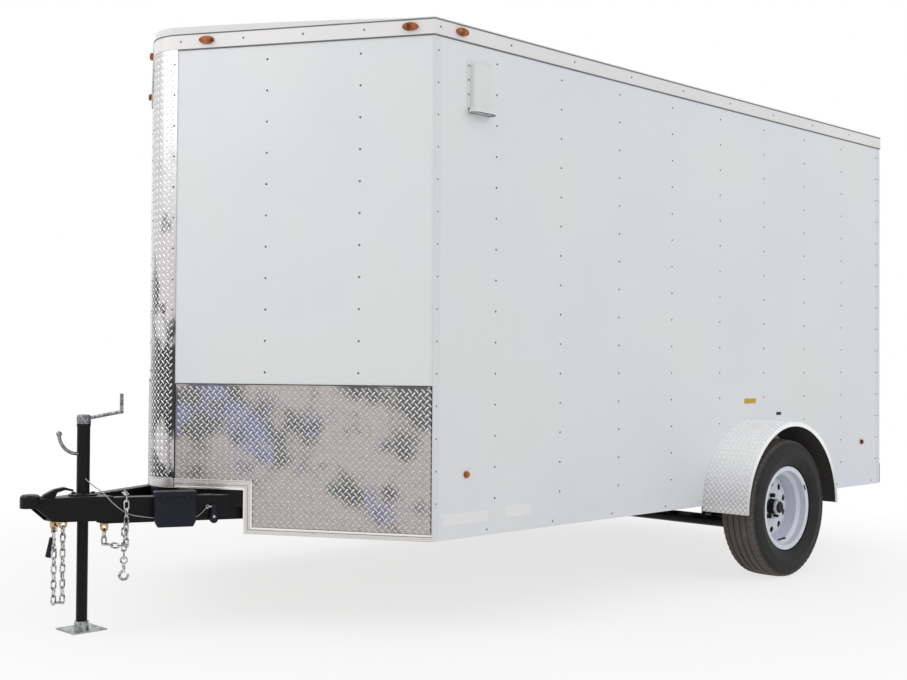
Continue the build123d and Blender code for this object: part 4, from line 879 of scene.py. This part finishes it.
class TRAILER_OT_tread_plate(bpy.types.Operator):
    """Raises the lugs of the tread plate on the stone guards, the nose cap and the fenders"""
    bl_idname = "trailer.tread_plate"
    bl_label = "Tread plate"

    def execute(self, context):
        settings = context.scene.trailer_tread
        shape = dome(8, 0.45)
        size = (settings.length / 2, settings.width / 2, settings.height)
        margin = 0.008          # bare edge of the plate
        bm = bmesh.new()
        end = PANEL_LENGTH - CAP_PROUD - GUARD_GAP
        for along, up, turn in self.spots(settings.pitch, (margin, end - margin),
                                          (SKIRT_Z + margin, GUARD_TOP - margin)):
            if up > FLOOR_TOP + margin or along < NOTCH_START - margin:
                stamp(bm, shape, [NOSE.place(along, up, GUARD_THICKNESS, turn, size)])
        mirrored(bm)
        piece("guard_lugs", bm, "tread_lug")
        bm = bmesh.new()
        half, sunk = CAP_ROUND * LEAN - margin, 0.0004
        for arc, up, turn in self.spots(settings.pitch, (-half, half),
                                        (FLOOR_TOP + margin, BAND_LOW - margin)):
            stamp(bm, shape, [cap_place(arc, up, -sunk, turn, size)])
        piece("cap_lugs", bm, "cap_lug")
        inner = HALF_WIDTH + margin - 0.0006        # so that the outermost lugs end inside the fender's edge
        sunk = 0.0002
        for side in ("left", "right"):
            bm = bmesh.new()
            for y, arc, turn in self.spots(settings.pitch, (inner, FENDER_OUTER - margin),
                                           (margin, FENDER_RADIUS * pi - margin)):
                stamp(bm, shape, [fender_place(arc / FENDER_RADIUS, y, -sunk, turn, size)])
            if side == "right":
                bmesh.ops.transform(bm, matrix=MIRROR, verts=bm.verts[:])
            piece(f"fender_lugs_{side}", bm, "fender_lug")
        return {"FINISHED"}

    def spots(self, pitch, across, along):
        """Lug places on a grid, leaning one way on its crossings and the other way between them."""
        for shift, turn in ((0.0, pi / 4), (pitch / 2, -pi / 4)):
            columns, rows = (paces(low + shift, pitch, int((high - low - shift) / pitch) + 1)
                             for low, high in (across, along))
            for column, row in product(columns, rows):
                yield column, row, turn


class TRAILER_OT_fasteners(bpy.types.Operator):
    """Drives the screws of the wall skins and roof band and the rivets of the stone guards"""
    bl_idname = "trailer.fasteners"
    bl_label = "Fasteners"

    def execute(self, context):
        settings = context.scene.trailer_fasteners
        screw = dome(10, 0.5)
        self.skin_screws(screw, settings)
        self.guard_rivets(screw, settings.head * 0.8)
        return {"FINISHED"}

    def skin_screws(self, screw, settings):
        """Screws on every post, along the skirt, beside the nose cap and along the roof band."""
        stud, pitch, edge = settings.stud_pitch, settings.screw_pitch, 0.022
        head = (settings.head, settings.head, 0.0022)
        low, high = FLOOR_TOP - 0.03, BAND_LOW - 0.05
        rows = paces(low, pitch, int((high - low) / pitch) + 1)
        posts = [edge, *paces(0.355, stud, 9), SIDE_LENGTH - edge]
        nose_posts, nose_rows = (0.305, 0.705), [up for up in rows if up > GUARD_TOP + 0.03]
        cap_edge, cap_rows = CAP_ROUND * LEAN - 0.014, [up for up in rows if up > FLOOR_TOP + 0.06]
        band = [(BAND_LOW + BAND_HIGH) / 2]
        bm = bmesh.new()
        studded(bm, screw, SIDE, product(posts, rows), 0, head)
        studded(bm, screw, SIDE, product(paces(0.31, stud, 9), [SKIRT_Z + edge]), 0, head)
        studded(bm, screw, NOSE, product(nose_posts, nose_rows), 0, head)
        stamp(bm, screw, [cap_place(cap_edge, up, 0, 0, head) for up in cap_rows])
        studded(bm, screw, NOSE, product((0.29, 0.55, 0.81, 1.09), band), BAND_THICKNESS, head)
        studded(bm, screw, SIDE, product(paces(0.03, stud, 9), band), BAND_THICKNESS, head)
        mirrored(bm)
        self.drop_from_door(bm)
        piece("skin_screws", bm, "screw_zinc")

    def guard_rivets(self, rivet, radius):
        """Rivets along the guards' upper and outer edges, their sill trim and their notch trim."""
        bm = bmesh.new()
        on_trim = GUARD_THICKNESS + TRIM_THICKNESS
        for along, up, out in ((paces(0.02, 0.127, 9), [GUARD_TOP - 0.012], GUARD_THICKNESS),
                               ([0.014], paces(SKIRT_Z + 0.05, 0.11, 6), GUARD_THICKNESS),
                               (paces(0.03, 0.152, 5), [SKIRT_Z + 0.013], on_trim),
                               (paces(NOTCH_START + 0.06, 0.1, 3), [FLOOR_TOP + 0.02], on_trim)):
            studded(bm, rivet, NOSE, product(along, up), out, (radius, radius, 0.0024))
        mirrored(bm)
        piece("guard_rivets", bm, "bright_trim")

    def drop_from_door(self, bm):
        """Takes out the right side's screws where its door and door frame are."""
        (x0, _, z0), (x1, _, z1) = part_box("side_door_frame")
        room = 0.02
        gone = [vert for vert in bm.verts if vert.co.y < -HALF_WIDTH + 0.001
                and x0 - room < vert.co.x < x1 + room and z0 - room < vert.co.z < z1 + room]
        bmesh.ops.delete(bm, geom=gone, context="VERTS")


class TRAILER_OT_tyres(bpy.types.Operator):
    """Makes the tyres with ribs, shoulder blocks and sidewall lines"""
    bl_idname = "trailer.tyres"
    bl_label = "Tyres"
    # Sidewall from bead to shoulder: off the tyre's middle, radius
    wall = [(0.0674, 0.1915), (0.0686, 0.2125), (0.0745, 0.2155), (0.0800, 0.2150), (0.0905, 0.2300),
            (0.0985, 0.2480), (0.1018, 0.2640), (0.1025, 0.2650), (0.1025, 0.2700), (0.1018, 0.2710),
            (0.1002, 0.2900), (0.0975, 0.3040), (0.0985, 0.3060), (0.0975, 0.3090), (0.0925, 0.3240),
            (0.0860, 0.3345), (0.0780, 0.3400)]
    block_steps = 3             # points round a shoulder block, the first of them in a gap
    gap_across, gap_radius, gap_depth = 0.0550, 0.330, 0.0045

    def execute(self, context):
        settings = context.scene.trailer_wheels
        steps = settings.blocks * self.block_steps
        for name, centre, axis in wheels():
            bm = bmesh.new()
            spun(bm, self.profile(settings.groove), centre, axis, steps)
            self.notch(bm, centre, steps)
            piece(f"road_tyre_{name}", bm, "tyre_rubber", f"wheel_{name}", crease=24,
                  replaces=[f"tyre_{name}"])
        return {"FINISHED"}

    def profile(self, groove):
        """Half of the tyre's section, bead to crown with its grooves, then the other half."""
        tread = [(0.0560, 0.3430), (0.0545, 0.3430 - groove), (0.0475, 0.3432 - groove), (0.0460, 0.3434),
                 (0.0220, 0.3442), (0.0205, 0.3442 - groove), (0.0135, 0.3443 - groove), (0.0120, 0.3444)]
        half = self.wall + tread
        return half + [(-along, radius) for along, radius in reversed(half)]

    def notch(self, bm, centre, steps):
        """Cuts the gaps between the shoulder blocks by drawing points in."""
        for vert in bm.verts:
            x, y, z = vert.co - centre
            radius = (x * x + z * z) ** 0.5
            if abs(y) > self.gap_across and radius > self.gap_radius:
                if round(np.arctan2(z, x) / (2 * pi) * steps) % self.block_steps == 0:
                    shrink = 1 - self.gap_depth / radius
                    vert.co.x, vert.co.z = centre.x + x * shrink, centre.z + z * shrink


class TRAILER_OT_chains(bpy.types.Operator):
    """Forges the safety chains' round links in the places of the flat ones"""
    bl_idname = "trailer.chains"
    bl_label = "Chains"

    def execute(self, context):
        for node in ("safety_chain_front", "safety_chain_rail"):
            bm = bmesh.new()
            for middle, axes, size in islands(node):
                wire = size[2] / 2
                bend = size[1] / 2 - wire
                loop = long_round(size[0] / 2 - wire - bend, bend, 7)
                tube(bm, laid(loop, middle, axes), wire, closed=True)
            piece(node + "_links", bm, "zinc", replaces=[node])
        return {"FINISHED"}


class TRAILER_OT_mouldings(bpy.types.Operator):
    """Lays the roof band's gasket, a painted shadow line under the band and the band's lip, the corner
    mouldings and the dark joints of the nose cladding, with a painted shadow beside the nose cap
    """
    bl_idname = "trailer.mouldings"
    bl_label = "Mouldings"

    def execute(self, context):
        skin, gasket, joint = plan(0.0), 0.0055, 0.0005
        bm = bmesh.new()
        # Painted shadow: a grey strip just under the roof band
        ribbon(bm, skin, plan(0.0025), BAND_LOW - gasket, BAND_LOW)
        ribbon(bm, skin, plan(0.0050), BAND_HIGH - gasket, BAND_HIGH - joint)
        piece("band_gasket_and_shadow", bm, "seam_grey")
        bm = bmesh.new()
        bars(bm, NOSE, [(0.0, PANEL_LENGTH - 0.004, GUARD_TOP - 0.001, GUARD_TOP + 0.0025, 0, 0.0028),
                        # Painted shadow beside the nose cap's edge, down the guards
                        (PANEL_LENGTH - 0.006, PANEL_LENGTH - 0.001, FLOOR_TOP, GUARD_TOP, 0, 0.0031),
                        (0.0002, 0.004, SKIRT_Z + 0.001, GUARD_TOP, 0.0005, 0.0032)])
        mirrored(bm)
        piece("joint_gaskets_and_cap_shadow", bm, "seal_rubber")
        self.trim_lines()
        bm = bmesh.new()
        ribbon(bm, skin, plan(0.0062), BAND_HIGH - joint, BAND_HIGH + 0.0035)
        piece("roof_lip", bm, "corner_trim")
        bm = bmesh.new()
        low, high, thick = SKIRT_Z + 0.001, BAND_LOW - 0.007, 0.0009
        bars(bm, SIDE, [(0.0, 0.038, low, high, 0, thick),
                        (SIDE_LENGTH - 0.036, SIDE_LENGTH, low, high, 0, thick)])
        bars(bm, NOSE, [(0.0, 0.010, GUARD_TOP, high, 0, thick)])
        mirrored(bm)
        piece("corner_mouldings", bm, "corner_trim")
        return {"FINISHED"}

    def trim_lines(self):
        """Rolls bright beads, a painted highlight, along the guards' trim and darkens the grooves between
        them with painted shade.
        """
        face = GUARD_THICKNESS + TRIM_THICKNESS
        inner, outer, end = NOTCH_START - NOTCH_TRIM, NOTCH_START, PANEL_LENGTH - 0.006
        sill, shelf = SKIRT_Z + SILL_TRIM, FLOOR_TOP + NOTCH_TRIM
        bead, groove = (face - 0.001, face + 0.0016), (face - 0.001, face + 0.0003)
        joint = (0.0005, face - 0.001)          # beside the trim
        bm = bmesh.new()
        # Beads in a lighter finish than the trim: a painted highlight
        bars(bm, NOSE, [(0.001, inner + 0.007, sill - 0.007, sill - 0.001, *bead),
                        (inner + 0.001, inner + 0.007, sill - 0.001, shelf - 0.006, *bead),
                        (outer - 0.008, outer - 0.001, SKIRT_Z + 0.001, FLOOR_TOP + 0.001, *bead),
                        (outer - 0.008, end, FLOOR_TOP + 0.001, FLOOR_TOP + 0.009, *bead)])
        mirrored(bm)
        piece("trim_bead_highlights", bm, "bead_trim")
        bm = bmesh.new()
        bars(bm, NOSE, [(0.001, inner, sill, sill + 0.002, *joint),
                        (inner - 0.002, inner, sill, shelf, *joint),
                        (inner - 0.002, end, shelf, shelf + 0.002, *joint),
                        # Painted shade in the trim's grooves
                        (inner + 0.019, inner + 0.021, sill - 0.009, FLOOR_TOP + 0.018, *groove),
                        (0.001, inner + 0.021, sill - 0.011, sill - 0.009, *groove),
                        (inner + 0.019, end, FLOOR_TOP + 0.018, FLOOR_TOP + 0.020, *groove)])
        mirrored(bm)
        piece("trim_groove_shade", bm, "seam_grey")


class TRAILER_OT_lamps(bpy.types.Operator):
    """Domes the oval lenses, and seats the tail lamps in gaskets with a ring of prisms"""
    bl_idname = "trailer.lamps"
    bl_label = "Lamps"

    def execute(self, context):
        for node, slot in (("amber_lamps", "amber_lens"), ("red_lamps", "red_lens")):
            lenses = bmesh.new()
            stamp(lenses, button(), [self.domed(*lamp) for lamp in islands(node)])
            piece(node + "_lenses", lenses, slot, replaces=[node])
        gaskets, ridges = bmesh.new(), bmesh.new()
        for middle, axes, size in islands("tail_lamps"):
            out = self.outward(middle, axes)
            base, face = middle - out * (size[2] / 2), middle + out * (size[2] / 2)
            tube(gaskets, self.outline(base + out * 0.0012, axes, size, 0.002), 0.0026, closed=True)
            for inset in (0.010, 0.0135):
                tube(ridges, self.outline(face, axes, size, -inset), 0.0009, 6, closed=True)
        piece("tail_lamp_ridges", ridges, "red_lens")
        piece("lamp_gaskets", gaskets, "seal_rubber")
        return {"FINISHED"}

    def outward(self, middle, axes):
        """A lamp's shortest axis, turned away from the middle of the trailer."""
        return axes[2] * (1 if axes[2].dot(middle - Vector((0, 0, middle.z))) > 0 else -1)

    def domed(self, middle, axes, size):
        """The place of an oval lens of unit radius and height on a lamp's base."""
        out = self.outward(middle, axes)
        place = Matrix((axes[0] * (size[0] / 2), axes[1] * (size[1] / 2), out * size[2]))
        return Matrix.Translation(middle - out * (size[2] / 2)) @ place.transposed().to_4x4()

    def outline(self, middle, axes, size, grow):
        """The outline of a long lamp, grown or shrunk."""
        return laid(long_round(size[0] / 2 - size[1] / 2, size[1] / 2 + grow), middle, axes)


class TRAILER_OT_vents(bpy.types.Operator):
    """Screws the vents' flanges to the walls, rings their mouths with painted shade and sets louvres in them
    """
    bl_idname = "trailer.vents"
    bl_label = "Vents"
    length, height, drop = 0.105, 0.190, 0.083      # of a vent, and its top below the roof band
    flange = 0.009                                  # screws beside the hood
    mouth_half, mouth_bend, mouth_out = 0.0455, 0.020, 0.022
    louvre = (0.003, 0.004, 0.036)

    def execute(self, context):
        low = BAND_LOW - self.drop - self.height
        screws, louvres, mouth_shades = bmesh.new(), bmesh.new(), bmesh.new()
        head, head_size = dome(10, 0.5), (0.0045, 0.0045, 0.0022)
        for start, turn in ((0.197, Matrix()), (SIDE_LENGTH - 0.405, MIRROR)):
            middle = start + self.length / 2
            edges = (start - self.flange, start + self.length + self.flange)
            spots = product(edges, paces(low + 0.005, 0.058, 4))
            stamp(screws, head, [turn @ SIDE.place(along, up, 0.003, 0, head_size) for along, up in spots])
            # Painted shade: a grey ring round each vent's mouth for its dark inside
            rim = [turn @ SIDE.place(middle + along, low - 0.0105, self.mouth_out + out).to_translation()
                   for along, out in long_round(self.mouth_half, self.mouth_bend)]
            tube(mouth_shades, rim, 0.0024, closed=True)
            stamp(louvres, brick(0.1), [turn @ SIDE.place(along, low - 0.006, 0.004, 0, self.louvre)
                                        for along in paces(start + 0.0125, 0.020, 5)])
        piece("vent_screws", screws, "screw_zinc")
        piece("vent_louvres", louvres, "white_plastic")
        piece("vent_mouth_shade", mouth_shades, "seam_grey")
        return {"FINISHED"}


class TRAILER_OT_hubs(bpy.types.Operator):
    """Adds the wheels' bright hub rings, valve stems and balance weights"""
    bl_idname = "trailer.hubs"
    bl_label = "Hubs"
    # Profiles: outward from the wheel's middle, radius
    ring = [(0.0205, 0.0365), (0.0210, 0.0386), (0.0235, 0.0392), (0.0290, 0.0392), (0.0312, 0.0384),
            (0.0318, 0.0300)]
    lip = [(0.0318, 0.0318), (0.0340, 0.0318), (0.0345, 0.0296)]
    stem = [(0.020, 0.170), (0.034, 0.163), (0.046, 0.158), (0.058, 0.154)]
    stem_cap = [(0.055, 0.155), (0.066, 0.1515)]
    weight_out, weight_radius, weight_turn = 0.0742, 0.196, radians(-62)

    def execute(self, context):
        down = Vector((0, 0, -1))
        tilt = Vector((sin(self.weight_turn), 0, cos(self.weight_turn)))
        for name, centre, axis in wheels():
            bm = bmesh.new()
            for profile in (self.ring, self.lip):
                spun(bm, profile, centre, axis, 48)
            piece(f"hub_ring_{name}", bm, "bright_zinc", f"wheel_{name}")
            bm = bmesh.new()
            for line, thick, sides in ((self.stem, 0.0042, 10), (self.stem_cap, 0.0052, 8)):
                tube(bm, [centre + axis * along + down * radius for along, radius in line], thick, sides)
            weight = [centre + axis * self.weight_out
                      + (tilt.cross(axis) * step + tilt).normalized() * self.weight_radius
                      for step in (-0.07, -0.035, 0, 0.035, 0.07)]
            tube(bm, weight, 0.0040)
            piece(f"valve_{name}", bm, "seal_rubber", f"wheel_{name}")
        return {"FINISHED"}


class TRAILER_OT_tongue_fittings(bpy.types.Operator):
    """Adds the battery box's lid, the switch's pin, the coupler's bolts and the jack's collars"""
    bl_idname = "trailer.tongue_fittings"
    bl_label = "Tongue fittings"
    box_ahead, switch_ahead = 0.194, 0.0515         # ahead of the rail's exit from the nose
    pin_up, pin_out = 0.479, 0.015                  # height, and out from the rail's face

    def execute(self, context):
        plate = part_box("coupler_latch")[0][2]
        self.battery_lid()
        self.switch_pin()
        self.coupler_bolts(plate)
        self.jack_collars(plate)
        return {"FINISHED"}

    def battery_lid(self):
        """A lid with its rim and two clips."""
        middle, top = self.box_ahead / cos(FORK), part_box("battery_box")[1][2]
        bm = bmesh.new()
        bars(bm, RAIL, [(middle - 0.0825, middle + 0.0825, top - 0.020, top + 0.001, 0.0005, 0.0745),
                        (middle - 0.0812, middle + 0.0812, top - 0.026, top - 0.022, 0.0005, 0.0732)])
        bars(bm, RAIL, [(clip - 0.009, clip + 0.009, top - 0.038, top - 0.010, 0.070, 0.0775)
                        for clip in (middle - 0.045, middle + 0.045)])
        piece("battery_lid", bm, "black_plastic")

    def switch_pin(self):
        """A pin with its collar and pull ring, and the screw in the switch's face."""
        switch, pull = self.switch_ahead / cos(FORK), 0.0068
        ring = [(0.0245 + pull * cos(turn), pull * sin(turn)) for turn in paces(0, pi / 8, 16)]
        bm = bmesh.new()
        for line, radius, sides, closed in (([(0.0085, 0), (0.0200, 0)], 0.0030, 10, False),
                                            ([(0.0070, 0), (0.0100, 0)], 0.0060, 10, False),
                                            (ring, 0.0013, 8, True)):
            tube(bm, [RAIL.matrix @ Vector((switch + ahead, self.pin_up + up, self.pin_out))
                      for ahead, up in line], radius, sides, closed)
        stamp(bm, dome(16, 0.8), [RAIL.place(switch, 0.440, 0.030, 0, (0.0060, 0.0060, 0.0016))])
        piece("switch_pin", bm, "bright_zinc")

    def coupler_bolts(self, plate):
        """Bolts with washers through the coupler's sides, and three round the jack."""
        start = (TIP_X - COUPLER_LENGTH - RAIL_EXIT_X) / cos(FORK)
        spots = list(product(paces(start + 0.030, 0.045, 2), paces(0.498, -0.040, 2)))
        bm = bmesh.new()
        head = dome(6, 0.92)
        studded(bm, head, RAIL, spots, 0.006, (0.0095, 0.0095, 0.0065))
        studded(bm, dome(16, 0.9), RAIL, spots, 0.0055, (0.0125, 0.0125, 0.0016))
        mirrored(bm)
        circle = 0.043
        for turn in paces(pi / 3, 2 * pi / 3, 3):
            spot = Matrix.Translation((JACK_X + circle * cos(turn), circle * sin(turn), plate + 0.006))
            stamp(bm, head, [spot @ Matrix.Diagonal((0.0085, 0.0085, 0.006, 1))])
        piece("coupler_bolts", bm, "hub_black")

    def jack_collars(self, plate):
        """The jack's welded flange on the coupler's plate, and the bands at its tube's ends."""
        low, high = (corner[2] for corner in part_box("jack_tube"))
        bm = bmesh.new()
        # Height above the base, radius
        for base, profile in (
                (plate, [(0, 0.0256), (0, 0.0560), (0.006, 0.0560), (0.006, 0.0300), (0.011, 0.0258)]),
                (high, [(-0.012, 0.0256), (-0.011, 0.0272), (-0.001, 0.0272), (0, 0.0256)]),
                (low, [(0, 0.0230), (0, 0.0268), (0.010, 0.0268), (0.012, 0.0256)])):
            spun(bm, profile, (JACK_X, 0, base), (0, 0, 1), 40)
        piece("jack_collars", bm, "black_steel")


class TRAILER_OT_labels(bpy.types.Operator):
    """Sticks the blank plates on the left side"""
    bl_idname = "trailer.labels"
    bl_label = "Blank plates"
    # Finish, along the side, height, length, tall
    plates = (("blank_white", 0.187, 0.446, 0.262, 0.046), ("blank_white", 0.498, 0.453, 0.158, 0.048),
              ("blank_yellow", 2.258, 0.877, 0.108, 0.026), ("seal_rubber", 2.535, 0.806, 0.046, 0.016))

    def execute(self, context):
        for name, along, up, length, tall in self.plates:
            bm = bmesh.new()
            stamp(bm, brick(0.02), [SIDE.place(along, up, 0, 0, (length, tall, 0.0008))])
            piece(f"label_{int(along * 1000)}", bm, name)
        return {"FINISHED"}


STEPS = (TRAILER_OT_stage, TRAILER_OT_cords, TRAILER_OT_finishes, TRAILER_OT_tread_plate,
         TRAILER_OT_fasteners, TRAILER_OT_tyres, TRAILER_OT_chains, TRAILER_OT_mouldings, TRAILER_OT_lamps,
         TRAILER_OT_vents, TRAILER_OT_hubs, TRAILER_OT_tongue_fittings, TRAILER_OT_labels)
GROUPS = {"trailer_stage": StageSettings, "trailer_tread": TreadSettings,
          "trailer_fasteners": FastenerSettings, "trailer_wheels": WheelSettings}


class TRAILER_PT_panel(bpy.types.Panel):
    """The trailer's settings and its makers, in the 3D view's sidebar"""
    bl_label = "Cargo trailer"
    bl_idname = "TRAILER_PT_panel"
    bl_space_type = "VIEW_3D"
    bl_region_type = "UI"
    bl_category = "Trailer"

    def draw(self, context):
        for name, group in GROUPS.items():
            box = self.layout.box()
            box.label(text=group.__doc__)
            for setting in group.__annotations__:
                box.prop(getattr(context.scene, name), setting)
        for step in STEPS:
            self.layout.operator(step.bl_idname)


def register():
    for made in (*GROUPS.values(), *STEPS, TRAILER_PT_panel):
        bpy.utils.register_class(made)
    for name, group in GROUPS.items():
        setattr(bpy.types.Scene, name, PointerProperty(type=group))


def unregister():
    for name in GROUPS:
        delattr(bpy.types.Scene, name)
    for made in (TRAILER_PT_panel, *reversed(STEPS), *GROUPS.values()):
        bpy.utils.unregister_class(made)


def main():
    register()
    for step in STEPS:
        family, name = step.bl_idname.split(".")
        getattr(getattr(bpy.ops, family), name)()


if __name__ == "__main__":
    main()
